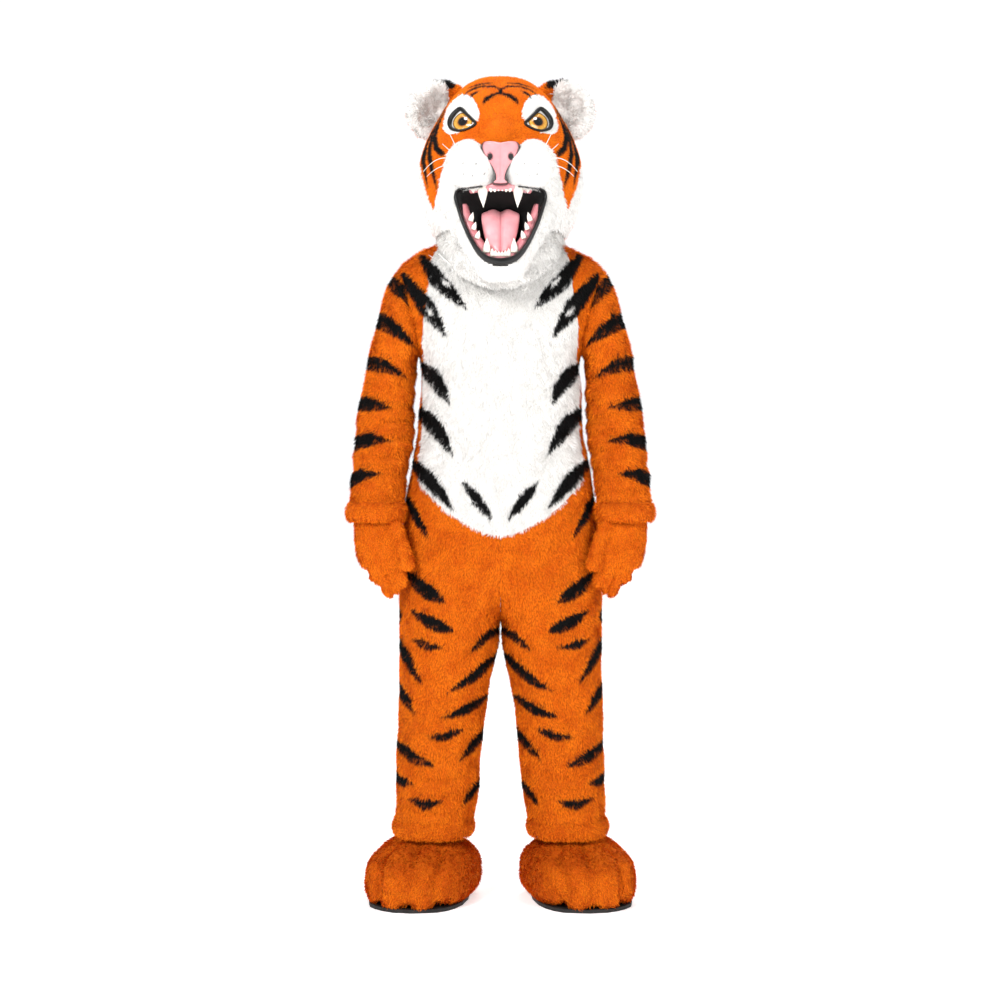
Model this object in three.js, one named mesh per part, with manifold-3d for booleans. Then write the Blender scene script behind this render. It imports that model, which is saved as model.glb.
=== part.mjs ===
// Tiger mascot costume: fur suit, gloves, boots and a hollow padded head with an open roaring mouth.
// Millimetres, +Z up, the front faces -Y, the wearer's left is +X. The origin is the middle of the
// shoulder line, where the suit hangs on the wearer. Tables give heights above the floor.
import * as THREE from 'three';
import { mergeVertices } from 'three/addons/utils/BufferGeometryUtils.js';
import Module from 'manifold-3d';

const wasm = await Module();
wasm.setup();

// Driving dimensions
const shoulderHeight = 1485; // floor to shoulder line
const suitWall = 3; // plush backed with knit
const headWall = 10; // plush over foam
const bootWall = 8;
const gloveWall = 5;
const seam = 0.3; // gap between neighbouring pieces
const slack = 0.1; // flats that lie this close are joined // flats that lie this close are joined
// How many flats go round each kind of tube
const trunkSides = 24;
const legSides = 16;
const armSides = 14;
const headSides = 24;
const jawSides = 14;
const bootSides = 24;

const far = 600; // reach of the cutting blocks
const sideSeam = 4; // y of the side seams of the suit
const headSeam = 25; // y of the seam between the face half and the back of the head

// Colours
const orange = 0xd66a12;
const white = 0xf2efe9;
const black = 0x0d0c0c;
const pink = 0xe39aa2;
const ivory = 0xf6f2e4;
const amber = 0xd08a24;

// Rows of the trunk, bottom to top: half width, front and back reach
const trunkRows = [
  { z: 652, half: 190, front: -98, back: 104 },
  { z: 705, half: 236, front: -138, back: 147 },
  { z: 833, half: 235, front: -150, back: 156 },
  { z: 915, half: 224, front: -152, back: 150 },
  { z: 1070, half: 196, front: -148, back: 134 },
  { z: 1150, half: 190, front: -146, back: 130 },
  { z: 1285, half: 189, front: -142, back: 130 },
  { z: 1340, half: 199, front: -138, back: 130 },
  { z: 1400, half: 220, front: -132, back: 127 },
  { z: 1450, half: 236, front: -122, back: 118 },
  { z: 1478, half: 234, front: -112, back: 108 },
  { z: 1500, half: 204, front: -102, back: 98 },
  { z: 1520, half: 158, front: -92, back: 86 },
  { z: 1542, half: 104, front: -80, back: 72 },
];

// Rows of one leg, hem to hip: middle, half width, front and back reach
const legRows = [
  { z: 168, x: 157, half: 91, front: -104, back: 100 },
  { z: 250, x: 148, half: 96, front: -106, back: 103 },
  { z: 316, x: 145, half: 99, front: -108, back: 106 },
  { z: 480, x: 132, half: 105, front: -115, back: 118 },
  { z: 551, x: 124, half: 112, front: -126, back: 132 },
  { z: 626, x: 119.5, half: 117, front: -133, back: 141 },
  { z: 700, x: 119, half: 117, front: -137, back: 146 },
];
const hemRows = [
  { z: 146, x: 158, half: 89, front: -102, back: 98 },
  { z: 155, x: 158, half: 94, front: -107, back: 103 },
  { z: 168 - seam, x: 157, half: 92, front: -105, back: 101 },
];

// Rows of one sleeve from inside the shoulder to the cuff seam, square to its middle line
const sleeveRows = [
  { x: 150, y: 2, z: 1430, across: 62, deep: 88 },
  { x: 192, y: 2, z: 1406, across: 74, deep: 92 },
  { x: 222, y: 1, z: 1352, across: 62, deep: 86 },
  { x: 246, y: -1, z: 1276, across: 54, deep: 76 },
  { x: 259, y: -4, z: 1205, across: 60, deep: 72 },
  { x: 266, y: -9, z: 1135, across: 67, deep: 71 },
  { x: 271, y: -19, z: 1070, across: 69, deep: 71 },
  { x: 282, y: -40, z: 985, across: 65, deep: 69 },
  { x: 286, y: -57, z: 918, across: 64, deep: 66 },
];
const cuffRows = [
  { x: 286, y: -57.2, z: 917.6, across: 65, deep: 67 },
  { x: 287.5, y: -62, z: 899, across: 69, deep: 71 },
  { x: 289, y: -67, z: 884, across: 63, deep: 65 },
];

// The armhole seam, seen from the front, top to armpit and on down between arm and body
const armholeLine = [
  { x: 236, z: 1560 },
  { x: 232, z: 1459 },
  { x: 212, z: 1379 },
  { x: 199, z: 1329 },
  { x: 191.5, z: 1270 },
  { x: 193.5, z: 1180 },
];

// Edge of the white belly panel from the neck down to the middle of the hip
const bellyEdge = [
  { x: 150, z: 1560 },
  { x: 148, z: 1505 },
  { x: 164, z: 1456 },
  { x: 168, z: 1406 },
  { x: 178, z: 1349 },
  { x: 184, z: 1291 },
  { x: 186.5, z: 1231 },
  { x: 187, z: 1130 },
  { x: 192, z: 1030 },
  { x: 189, z: 972 },
  { x: 164, z: 939 },
  { x: 120, z: 900 },
  { x: 75, z: 872 },
  { x: 46, z: 857 },
  { x: 0, z: 847 },
];

// Rows of the head above the neck, and of the jut of the lower jaw
const headRows = [
  { z: 1538, half: 150, front: -172, back: 138 },
  { z: 1566, half: 167, front: -204, back: 158 },
  { z: 1606, half: 184, front: -222, back: 177 },
  { z: 1665, half: 194, front: -228, back: 189 },
  { z: 1712, half: 192, front: -226, back: 191 },
  { z: 1763, half: 175, front: -214, back: 186 },
  { z: 1805, half: 154, front: -198, back: 174 },
  { z: 1850, half: 127, front: -174, back: 152 },
  { z: 1882, half: 103, front: -144, back: 126 },
  { z: 1904, half: 80, front: -110, back: 96 },
  { z: 1917, half: 66, front: -72, back: 58 },
  { z: 1923, half: 26, front: -30, back: 18 },
];
const jawRows = [
  { z: 1417, half: 26, front: -214, back: -186, y: -200 },
  { z: 1424, half: 44, front: -224, back: -178, y: -198 },
  { z: 1442, half: 60, front: -230, back: -174, y: -196 },
  { z: 1475, half: 76, front: -234, back: -172, y: -192 },
  { z: 1515, half: 100, front: -235, back: -168, y: -180 },
  { z: 1560, half: 126, front: -232, back: -120, y: -150 },
  { z: 1610, half: 130, front: -224, back: -60, y: -120 },
];
const skirtRows = [
  { z: 1400, half: 158, front: -164, back: 142 },
  { z: 1450, half: 164, front: -168, back: 148 },
  { z: 1490, half: 162, front: -167, back: 147 },
  { z: 1520, half: 154, front: -166, back: 144 },
  { z: 1537.5, half: 146, front: -166, back: 142 },
];
const bibDrop = { front: 1411, back: 1446, rise: 0.0044 }; // lower edge, rising to the sides

// Outlines on the face, seen from the front, wearer's left half or side
const maskEdge = [
  { x: 0, z: 1960 },
  { x: 230, z: 1960 },
  { x: 230, z: 1802 },
  { x: 178, z: 1782 },
  { x: 181, z: 1700 },
  { x: 173, z: 1642 },
  { x: 153, z: 1594 },
  { x: 137, z: 1638 },
  { x: 119, z: 1692 },
  { x: 105, z: 1722 },
  { x: 66, z: 1742 },
  { x: 0, z: 1742 },
];
const mouthEdge = [
  { x: 0, z: 1630 },
  { x: 60, z: 1630 },
  { x: 101, z: 1624 },
  { x: 97, z: 1596 },
  { x: 84, z: 1545 },
  { x: 56, z: 1486 },
  { x: 33, z: 1458 },
  { x: 0, z: 1447 },
];
const lipBand = { sides: 11, bottom: 18, proud: 9, behind: 16 };
const patchOutline = [
  { x: 84, z: 1848 },
  { x: 118, z: 1818 },
  { x: 123, z: 1772 },
  { x: 99, z: 1751 },
  { x: 52, z: 1769 },
  { x: 40, z: 1794 },
  { x: 44, z: 1816 },
  { x: 58, z: 1838 },
];
const eyeOutline = [
  { x: 82, z: 1809 },
  { x: 99, z: 1797 },
  { x: 107, z: 1780 },
  { x: 90, z: 1761 },
  { x: 70, z: 1762 },
  { x: 50, z: 1772 },
  { x: 62, z: 1796 },
];
const eyeRim = 4.5;
const noseOutline = [
  { x: 0, z: 1708 },
  { x: 30, z: 1709 },
  { x: 43, z: 1699 },
  { x: 36, z: 1680 },
  { x: 17, z: 1662 },
  { x: 12, z: 1645 },
  { x: 10, z: 1624 },
  { x: 0, z: 1621 },
];
const noseReach = { back: -226, front: -284, bevel: 4 };
const muzzle = { x: 56, y: -226, z: 1673, wide: 58, deep: 50, high: 54 };
const bridgeRows = [
  { z: 1700, half: 46, front: -262, back: -150, y: -214 },
  { z: 1727, half: 50, front: -254, back: -150, y: -206 },
  { z: 1755, half: 47, front: -237, back: -150, y: -200 },
  { z: 1780, half: 26, front: -216, back: -150, y: -190 },
  { z: 1794, half: 8, front: -203, back: -150, y: -180 },
];
const ear = { x: 146, y: 14, z: 1844, radius: 77, cup: 26, deep: 30, wall: 7 };

// Inside the mouth
const liningRows = [
  { y: -196, scale: 1 },
  { y: -165, scale: 0.86 },
  { y: -120, scale: 0.62 },
];
const mouthMiddle = 1556; // height that the mouth closes in on towards its back
const tongueRows = [
  { y: -138, z: 1556, half: 24, thick: 12 },
  { y: -152, z: 1553, half: 37, thick: 15 },
  { y: -176, z: 1530, half: 36, thick: 15 },
  { y: -193, z: 1507, half: 28, thick: 13 },
  { y: -201, z: 1491, half: 13, thick: 7 },
];
const bigTeeth = [
  { name: 'fang', x: 41, y: -208, base: 1620, tip: 1582, radius: 11 },
  { name: 'lower_fang', x: 30, y: -207, base: 1480, tip: 1514, radius: 8 },
];
const toothStrips = [
  { name: 'upper_teeth', from: -24, to: 24, pitch: 9.6, y: -206, z: 1612, rise: 0, high: 8, paired: false },
  { name: 'lower_teeth', from: -15, to: 15, pitch: 7.5, y: -213, z: 1479, rise: 0, high: 7, paired: false },
  { name: 'side_teeth', from: 43, to: 63, pitch: 10, y: -205, z: 1520, rise: 16, high: 11, paired: true },
];
const whiskers = [
  { out: 92, y: -264, z: 1704, toOut: 112, toY: -282, toZ: 1732 },
  { out: 104, y: -258, z: 1694, toOut: 126, toY: -284, toZ: 1706 },
  { out: 110, y: -252, z: 1682, toOut: 168, toY: -286, toZ: 1648 },
  { out: 108, y: -252, z: 1668, toOut: 160, toY: -286, toZ: 1628 },
];
const whiskerRadius = 1.2;

// Gloves: the palm as sections square to its run, fingers as round-ended rods
const palmRows = [
  { x: 289, y: -68, z: 900, across: 50, deep: 44 },
  { x: 287, y: -73, z: 868, across: 53, deep: 44 },
  { x: 279, y: -83, z: 820, across: 59, deep: 42 },
  { x: 271, y: -91, z: 776, across: 57, deep: 38 },
  { x: 263, y: -95, z: 748, across: 44, deep: 30 },
];
const fingers = [
  { x: 300, y: -92, z: 782, toX: 288, toY: -97, toZ: 754, radius: 22 },
  { x: 276, y: -93, z: 766, toX: 256, toY: -98, toZ: 726, radius: 23 },
  { x: 244, y: -96, z: 772, toX: 233, toY: -100, toZ: 742, radius: 21 },
  { x: 234, y: -108, z: 850, toX: 216, toY: -123, toZ: 786, radius: 20 },
];

// Boots, in the foot's own frame: middle of the ankle at the origin, toes towards -Y
const bootRows = [
  { z: 8.3, half: 108, front: -200, back: 112, toe: 0.05 },
  { z: 32, half: 120, front: -212, back: 120, toe: 0.06 },
  { z: 62, half: 123, front: -212, back: 122, toe: 0.06 },
  { z: 88, half: 120, front: -200, back: 118, toe: 0.05 },
  { z: 110, half: 110, front: -174, back: 108, toe: 0.04, inward: 2 },
  { z: 123, half: 96, front: -138, back: 98, toe: 0.02, inward: 6 },
  { z: 139, half: 64, front: -76, back: 70, toe: 0, inward: 15 },
  { z: 178, half: 60, front: -68, back: 64, toe: 0, inward: 15 },
];
const boot = { x: 172, y: 2, turn: 0.24, widest: -60, soleGrow: 2, sole: 8 };

const costume = new THREE.Group();
costume.position.z = -shoulderHeight;

// ---- making solids ----

function solidFrom(positions, triangles) {
  const vertProperties = new Float32Array(positions);
  const triVerts = new Uint32Array(triangles);
  return new wasm.Manifold(new wasm.Mesh({ numProp: 3, vertProperties, triVerts }));
}

// A closed solid through rings of equally many points, each ring turning about the run
function loft(rings) {
  const count = rings[0].length;
  const positions = rings.flat().flatMap((point) => [point.x, point.y, point.z]);
  const triangles = [];
  for (let ring = 0; ring + 1 < rings.length; ring += 1) {
    for (let step = 0; step < count; step += 1) {
      const a = ring * count + step;
      const b = ring * count + ((step + 1) % count);
      triangles.push(a, b, b + count, a, b + count, a + count);
    }
  }
  const ends = [{ ring: rings[0], first: 0, flip: true }];
  ends.push({ ring: rings.at(-1), first: (rings.length - 1) * count, flip: false });
  for (const end of ends) {
    const middle = new THREE.Vector3();
    end.ring.forEach((point) => middle.addScaledVector(point, 1 / count));
    const hub = positions.length / 3;
    positions.push(middle.x, middle.y, middle.z);
    for (let step = 0; step < count; step += 1) {
      const a = end.first + step;
      const b = end.first + ((step + 1) % count);
      triangles.push(hub, end.flip ? b : a, end.flip ? a : b);
    }
  }
  return solidFrom(positions, triangles);
}

function rounded(value, power) {
  return Math.sign(value) * Math.abs(value) ** (2 / power);
}

// A level ring with its own reach to the front and the back, grown by `grow`
function levelRing(row, grow, count, power) {
  const ring = [];
  const middleY = row.y ?? 0;
  for (let step = 0; step < count; step += 1) {
    const angle = (2 * Math.PI * (step + 0.5)) / count;
    const sine = rounded(Math.sin(angle), power);
    const reach = sine > 0 ? row.back - middleY + grow : middleY - row.front + grow;
    const x = (row.x ?? 0) + (row.half + grow) * rounded(Math.cos(angle), power);
    ring.push(new THREE.Vector3(x, middleY + sine * reach, row.z));
  }
  return ring;
}

function levelLoft(rows, grow, count, power = 2.3) {
  return loft(rows.map((row) => levelRing(row, grow, count, power)));
}

// Rows moved past both ends, so that a hollow cuts right through its wall
function through(rows, below, above) {
  const first = { ...rows[0], z: rows[0].z - below };
  const last = { ...rows.at(-1), z: rows.at(-1).z + above };
  return [...(below ? [first] : []), ...rows, ...(above ? [last] : [])];
}

// A tube square to a middle line that runs through the rows
function limbLoft(rows, grow, count) {
  const rings = rows.map((row, index) => {
    const before = rows[Math.max(index - 1, 0)];
    const after = rows[Math.min(index + 1, rows.length - 1)];
    const run = new THREE.Vector3(after.x - before.x, after.y - before.y, after.z - before.z);
    run.normalize();
    const deepAxis = new THREE.Vector3(0, 1, 0).addScaledVector(run, -run.y).normalize();
    const acrossAxis = new THREE.Vector3().crossVectors(deepAxis, run);
    const ring = [];
    for (let step = 0; step < count; step += 1) {
      const angle = (2 * Math.PI * step) / count;
      const point = new THREE.Vector3(row.x, row.y, row.z);
      point.addScaledVector(acrossAxis, Math.cos(angle) * (row.across + grow));
      point.addScaledVector(deepAxis, Math.sin(angle) * (row.deep + grow));
      ring.push(point);
    }
    return ring;
  });
  return loft(rings);
}

// The row past the last one, for a hollow that leaves through the end
function runOn(rows, length) {
  const last = rows.at(-1);
  const before = rows.at(-2);
  const step = Math.hypot(last.x - before.x, last.y - before.y, last.z - before.z);
  const next = { ...last };
  for (const axis of ['x', 'y', 'z']) next[axis] += ((last[axis] - before[axis]) * length) / step;
  return next;
}

function fromGeometry(geometry) {
  geometry.deleteAttribute('normal');
  geometry.deleteAttribute('uv');
  const merged = mergeVertices(geometry, 1e-3);
  return solidFrom(merged.attributes.position.array, merged.index.array);
}

// An outline of x and z points carried along Y
function prism(points, near, reach, bevel = 0) {
  const shape = new THREE.Shape(points.map((point) => new THREE.Vector2(point.x, point.z)));
  const settings = { depth: reach - near - 2 * bevel, bevelEnabled: bevel > 0, bevelSegments: 2 };
  Object.assign(settings, { bevelSize: bevel, bevelThickness: bevel, bevelOffset: -bevel, curveSegments: 1 });
  const geometry = new THREE.ExtrudeGeometry(shape, settings);
  geometry.rotateX(Math.PI / 2);
  geometry.translate(0, reach - bevel, 0);
  return fromGeometry(geometry);
}

function block(xLow, xHigh, yLow, yHigh, zLow, zHigh) {
  const geometry = new THREE.BoxGeometry(xHigh - xLow, yHigh - yLow, zHigh - zLow);
  geometry.translate((xLow + xHigh) / 2, (yLow + yHigh) / 2, (zLow + zHigh) / 2);
  return fromGeometry(geometry);
}

function ellipsoid(x, y, z, wide, deep, high, around = 14, up = 8) {
  const geometry = new THREE.SphereGeometry(1, around, up);
  geometry.rotateX(Math.PI / 2);
  geometry.scale(wide, deep, high);
  geometry.translate(x, y, z);
  return fromGeometry(geometry);
}

// A round-ended or pointed rod from one point to another
function rod(from, to, geometry) {
  const run = new THREE.Vector3().subVectors(to, from);
  const turn = new THREE.Quaternion().setFromUnitVectors(new THREE.Vector3(0, 1, 0), run.clone().normalize());
  geometry.applyQuaternion(turn);
  geometry.translate((from.x + to.x) / 2, (from.y + to.y) / 2, (from.z + to.z) / 2);
  return fromGeometry(geometry);
}

// Both halves of an outline whose first and last points lie on the middle line
function bothHalves(points) {
  const other = points.slice(1, -1).reverse().map((point) => ({ x: -point.x, z: point.z }));
  return [...points, ...other];
}

// A closed curve through the points
function curved(points, count) {
  const curve = new THREE.CatmullRomCurve3(points.map((point) => new THREE.Vector3(point.x, 0, point.z)), true);
  return curve.getPoints(count).slice(0, -1).map((point) => ({ x: point.x, z: point.z }));
}

// The outline moved out by `distance` (in where negative)
function moved(points, distance) {
  const clockwise = THREE.ShapeUtils.isClockWise(points.map((point) => new THREE.Vector2(point.x, point.z)));
  const side = clockwise ? -1 : 1;
  return points.map((point, index) => {
    const before = points.at(index - 1);
    const after = points[(index + 1) % points.length];
    const length = Math.hypot(after.x - before.x, after.z - before.z);
    const x = point.x + (side * distance * (after.z - before.z)) / length;
    return { x, z: point.z - (side * distance * (after.x - before.x)) / length };
  });
}

function union(solids) {
  return solids.reduce((sum, next) => sum.add(next));
}

function mirrored(solid) {
  return solid.mirror([1, 0, 0]);
}

function bothSides(solid) {
  return solid.add(mirrored(solid));
}

function largest(solid) {
  return solid.decompose().sort((a, b) => b.volume() - a.volume())[0];
}

// ---- putting pieces in the costume ----

function addPiece(name, solid, color, roughness = 0.95) {
  const mesh = largest(solid).simplify(slack).getMesh();
  const geometry = new THREE.BufferGeometry();
  const stride = mesh.numProp;
  const positions = [];
  for (let vertex = 0; vertex < mesh.vertProperties.length; vertex += stride) {
    positions.push(...mesh.vertProperties.slice(vertex, vertex + 3));
  }
  geometry.setAttribute('position', new THREE.Float32BufferAttribute(positions, 3));
  geometry.setIndex(Array.from(mesh.triVerts));
  geometry.computeVertexNormals();
  const piece = new THREE.Mesh(geometry, new THREE.MeshStandardMaterial({ color, roughness, metalness: 0 }));
  piece.name = name;
  costume.add(piece);
}

function addPair(name, solid, color, roughness) {
  addPiece(`${name}_l`, solid, color, roughness);
  addPiece(`${name}_r`, mirrored(solid), color, roughness);
}

// ---- the suit ----

function makeSuit() {
  const outside = (grow, withSleeves = true) => {
    const body = levelLoft(trunkRows, grow, trunkSides).add(bothSides(levelLoft(legRows, grow, legSides)));
    return withSleeves ? body.add(bothSides(limbLoft(sleeveRows, grow, armSides))) : body;
  };
  const trunkHollow = trunkRows.map((row, index) => ({ ...row, z: row.z + (index === 0 ? suitWall : 0) }));
  const hollow = (withSleeves = true) => {
    const body = levelLoft(through(trunkHollow, 0, 20), -suitWall, trunkSides)
      .add(bothSides(levelLoft(through(legRows, 20, 0), -suitWall, legSides)));
    return withSleeves ? body.add(bothSides(limbLoft([...sleeveRows, runOn(sleeveRows, 20)], -suitWall, armSides))) : body;
  };
  const wall = outside(0).subtract(hollow());

  // Above the armpit the armhole seam parts sleeve and body; below it they hang clear of each other
  const gap = seam / 2;
  const armpit = armholeLine.at(-1).z;
  const beyondArmhole = (shift) => {
    const line = armholeLine.map((point) => ({ x: point.x + shift, z: point.z }));
    return prism([...line, { x: far, z: armpit }, { x: far, z: armholeLine[0].z }], -far, far);
  };
  const underArm = block(-far, far, -far, far, 0, armpit + 1);
  const armTube = limbLoft(sleeveRows, 0, armSides);
  const armHollow = limbLoft([...sleeveRows, runOn(sleeveRows, 20)], -suitWall, armSides);
  addPair('sleeve', wall.intersect(beyondArmhole(gap)).add(armTube.subtract(armHollow).intersect(underArm)), orange);
  const lower = outside(0, false).subtract(hollow(false)).intersect(underArm);
  const upper = wall.subtract(bothSides(beyondArmhole(-gap))).intersect(block(-far, far, -far, far, armpit, 1700));
  const trunk = lower.add(upper);

  const bellyPoints = bothHalves([{ x: 0, z: 1600 }, { x: 150, z: 1600 }, ...bellyEdge]);
  const front = trunk.intersect(block(-far, far, -far, sideSeam - gap, 0, 1700));
  addPiece('belly_panel', front.intersect(prism(moved(bellyPoints, -gap), -far, 0)), white);
  const frontRest = front.subtract(prism(moved(bellyPoints, gap), -far, 0));
  addPair('front', frontRest.intersect(block(gap, far, -far, far, 0, 1700)), orange);

  const zipHalf = 9;
  const back = trunk.intersect(block(-far, far, sideSeam + gap, far, 0, 1700));
  addPair('back', back.subtract(block(-far, gap, 0, far, 0, 1700)).subtract(
    block(-zipHalf, zipHalf, 0, far, 860, 1700)), orange);
  const zip = back.intersect(block(-zipHalf + seam, zipHalf - seam, 0, far, 860 + seam, 1700));
  addPiece('back_zip', zip, orange);

  const hem = levelLoft(hemRows, 0, legSides).subtract(levelLoft(through(hemRows, 5, 5), -suitWall - 2, legSides));
  addPair('hem', hem, orange);
  const cuffHollow = [{ ...cuffRows[0], z: cuffRows[0].z + 20 }, ...cuffRows, runOn(cuffRows, 8)];
  const cuff = limbLoft(cuffRows, 0, armSides).subtract(limbLoft(cuffHollow, -suitWall - 2, armSides));
  addPair('cuff', cuff.subtract(limbLoft([...sleeveRows, runOn(sleeveRows, seam)], seam, armSides)), orange);
}

// ---- gloves ----

function makeGloves() {
  const hand = (grow, rows) => {
    const rods = fingers.map((finger) => {
      const from = new THREE.Vector3(finger.x, finger.y, finger.z);
      const to = new THREE.Vector3(finger.toX, finger.toY, finger.toZ);
      return rod(from, to, new THREE.CapsuleGeometry(finger.radius + grow, from.distanceTo(to), 2, 7));
    });
    return union([limbLoft(rows, grow, 10), ...rods]);
  };
  const wristUp = { ...palmRows[0], z: palmRows[0].z + 20 };
  const glove = hand(0, palmRows).subtract(hand(-gloveWall, [wristUp, ...palmRows]));
  const split = -86;
  addPair('glove_back', glove.intersect(block(0, far, -far, split - seam / 2, 0, 1700)), orange);
  addPair('glove_palm', glove.intersect(block(0, far, split + seam / 2, far, 0, 1700)), orange);
}

// ---- boots ----

function bootRing(row, grow, z) {
  const ring = [];
  const count = bootSides;
  for (let step = 0; step < count; step += 1) {
    const angle = (2 * Math.PI * (step + 0.5)) / count;
    const forward = Math.max(0, -Math.sin(angle));
    const lobes = 1 - row.toe * forward ** 2 * (1 - Math.abs(Math.sin(4 * (angle - Math.PI / 2) * 0.85)));
    const sine = rounded(Math.sin(angle), 2.5);
    const reach = sine > 0 ? row.back - boot.widest + grow : boot.widest - row.front + grow;
    const x = (row.half + grow) * rounded(Math.cos(angle), 2.5) * (sine > 0 ? 1 - 0.12 * sine : lobes);
    ring.push(new THREE.Vector3(x, boot.widest + sine * reach * (sine > 0 ? 1 : lobes), z));
  }
  const axis = new THREE.Vector3(0, 0, 1);
  // the ankle sits under the leg, further in than the foot
  const place = new THREE.Vector3(boot.x - (row.inward ?? 0), boot.y, 0);
  return ring.map((point) => point.applyAxisAngle(axis, boot.turn).add(place));
}

function makeBoots() {
  const outside = loft(bootRows.map((row) => bootRing(row, 0, row.z)));
  const inside = [
    bootRing(bootRows[0], -bootWall, 0),
    ...bootRows.slice(1).map((row) => bootRing(row, -bootWall, row.z - 4)),
    bootRing(bootRows.at(-1), -bootWall, 200),
  ];
  addPair('boot_upper', outside.subtract(loft(inside)), orange);
  const soleRings = [0, boot.sole].map((z) => bootRing(bootRows[0], boot.soleGrow, z));
  addPair('boot_sole', loft(soleRings), black, 0.8);
}

// ---- the head ----

function headOutside(grow) {
  const jaw = levelLoft(jawRows.map((row, index) => ({ ...row, z: row.z - (index < 2 ? grow : 0) })), grow, jawSides);
  const rows = headRows.map((row, index) => ({ ...row, z: row.z + (index > 6 ? grow : 0) }));
  return levelLoft(rows, grow, headSides, 2.2).add(jaw);
}

function headHollow() {
  const jaw = levelLoft(jawRows.map((row, index) => ({ ...row, z: row.z + (index < 2 ? headWall : 0) })), -headWall, jawSides);
  const rows = headRows.slice(0, -1).map((row, index) => ({ ...row, z: row.z - (index > 6 ? headWall : 0) }));
  return levelLoft(through(rows, 20, 0), -headWall, headSides, 2.2).add(jaw);
}

function makeHead() {
  const gap = seam / 2;
  const mouthFull = bothHalves(mouthEdge);
  const nosePoints = bothHalves(noseOutline);
  const noseCut = prism(moved(nosePoints, seam), -far, -100);
  const shell = headOutside(0).subtract(headHollow());
  const skin = headOutside(seam);

  const frontHalf = shell.intersect(block(-far, far, -far, headSeam - gap, 1300, 2000));
  const mask = bothHalves(maskEdge);
  addPiece('face_panel', frontHalf.intersect(prism(moved(mask, -gap), -far, far)), orange);
  addPiece('cheek_ruff', frontHalf.subtract(prism(moved(mask, gap), -far, far))
    .subtract(prism(moved(mouthFull, seam), -far, -60)), white);
  addPiece('head_back', shell.intersect(block(-far, far, headSeam + gap, far, 1300, 2000)), orange);

  const trunkTop = levelLoft(trunkRows, 2, trunkSides);
  const skirt = levelLoft(skirtRows, 0, headSides).subtract(levelLoft(through(skirtRows, 9, 9), -suitWall * 2, headSides))
    .subtract(trunkTop).subtract(bothSides(limbLoft(sleeveRows, 2, armSides))).subtract(headOutside(1))
    .subtract(pouch(lipInside(mouthFull), 1, -1));
  const above = (low) => {
    const edge = [];
    for (let x = -200; x <= 200; x += 25) edge.push({ x, z: low + bibDrop.rise * x * x });
    return [...edge, { x: 200, z: 1800 }, { x: -200, z: 1800 }];
  };
  addPiece('skirt_front', skirt.intersect(prism(above(bibDrop.front), -far, -gap)), white);
  addPiece('skirt_back', skirt.intersect(prism(above(bibDrop.back), gap, far)), orange);

  const muzzlePad = ellipsoid(muzzle.x, muzzle.y, muzzle.z, muzzle.wide, muzzle.deep, muzzle.high, 14, 8);
  const bothMuzzles = bothSides(muzzlePad);
  const muzzleCut = block(seam / 2, far, -far, far, 1300, 2000);
  const bridge = levelLoft(bridgeRows, 0, 12, 2);
  const padUnderMouth = prism(moved(mouthFull, seam), -far, -100);
  addPair('muzzle', muzzlePad.intersect(muzzleCut).subtract(skin).subtract(noseCut).subtract(padUnderMouth), white);
  const pads = bothSides(ellipsoid(muzzle.x, muzzle.y, muzzle.z, muzzle.wide + seam, muzzle.deep + seam,
    muzzle.high + seam, 14, 8));
  addPiece('nose_bridge', bridge.subtract(skin).subtract(pads).subtract(noseCut), orange);
  addPiece('nose', prism(nosePoints, noseReach.front, noseReach.back, noseReach.bevel).subtract(skin), pink, 0.35);

  const bareHead = union([headOutside(0), skin, headOutside(1)]);
  const layer = (from, to) => headOutside(to).subtract(headOutside(from)).subtract(bareHead);
  const keepClear = union([pads, levelLoft(bridgeRows, seam, 12, 2)]);
  const patch = curved(patchOutline, 14);
  const eye = curved(eyeOutline, 12);
  const onFace = (points) => prism(points, -far, -60);
  addPair('eye_patch', layer(seam, 4).intersect(onFace(patch)).subtract(keepClear), white);
  addPair('eye_rim', layer(4 + seam, 10).intersect(onFace(moved(eye, eyeRim))).subtract(onFace(moved(eye, seam)))
    .subtract(keepClear), black, 0.4);
  addPair('eye', layer(4 + seam, 9).intersect(onFace(eye)).subtract(keepClear), amber, 0.12);

  makeEars(skin);
  makeMouth(mouthFull, bothMuzzles, noseCut);
}

function makeEars(skin) {
  const cup = ellipsoid(ear.x, ear.y, ear.z, ear.radius, ear.deep, ear.radius, 18, 8);
  const inside = ellipsoid(ear.x, ear.y, ear.z, ear.radius - ear.wall, ear.deep - ear.wall, ear.radius - ear.wall, 18, 8);
  const behind = block(0, far, ear.y + seam / 2, far, 1300, 2000);
  const before = block(0, far, -far, ear.y - seam / 2, 1300, 2000);
  addPair('ear_back', cup.subtract(inside).intersect(behind).subtract(skin), orange);
  const dish = ellipsoid(ear.x, ear.y - ear.deep, ear.z, ear.radius * 0.66, ear.cup, ear.radius * 0.66, 12, 6);
  addPair('ear_front', cup.intersect(before).subtract(dish).subtract(skin), white);
}

// The mouth outline drawn in towards its middle, as a ring at one depth
function mouthRing(points, scale, y, grow) {
  return moved(points, grow).map((point) => {
    return new THREE.Vector3(point.x * scale, y, mouthMiddle + (point.z - mouthMiddle) * scale);
  });
}

function lipInside(mouthFull) {
  return mouthFull.map((point) => {
    const low = THREE.MathUtils.clamp((1560 - point.z) / 100, 0, 1);
    const band = lipBand.sides + (lipBand.bottom - lipBand.sides) * low;
    const up = point.z > 1600 ? -8 : band * low;
    return { x: point.x * (1 - band / 101), z: point.z + up };
  });
}

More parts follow.
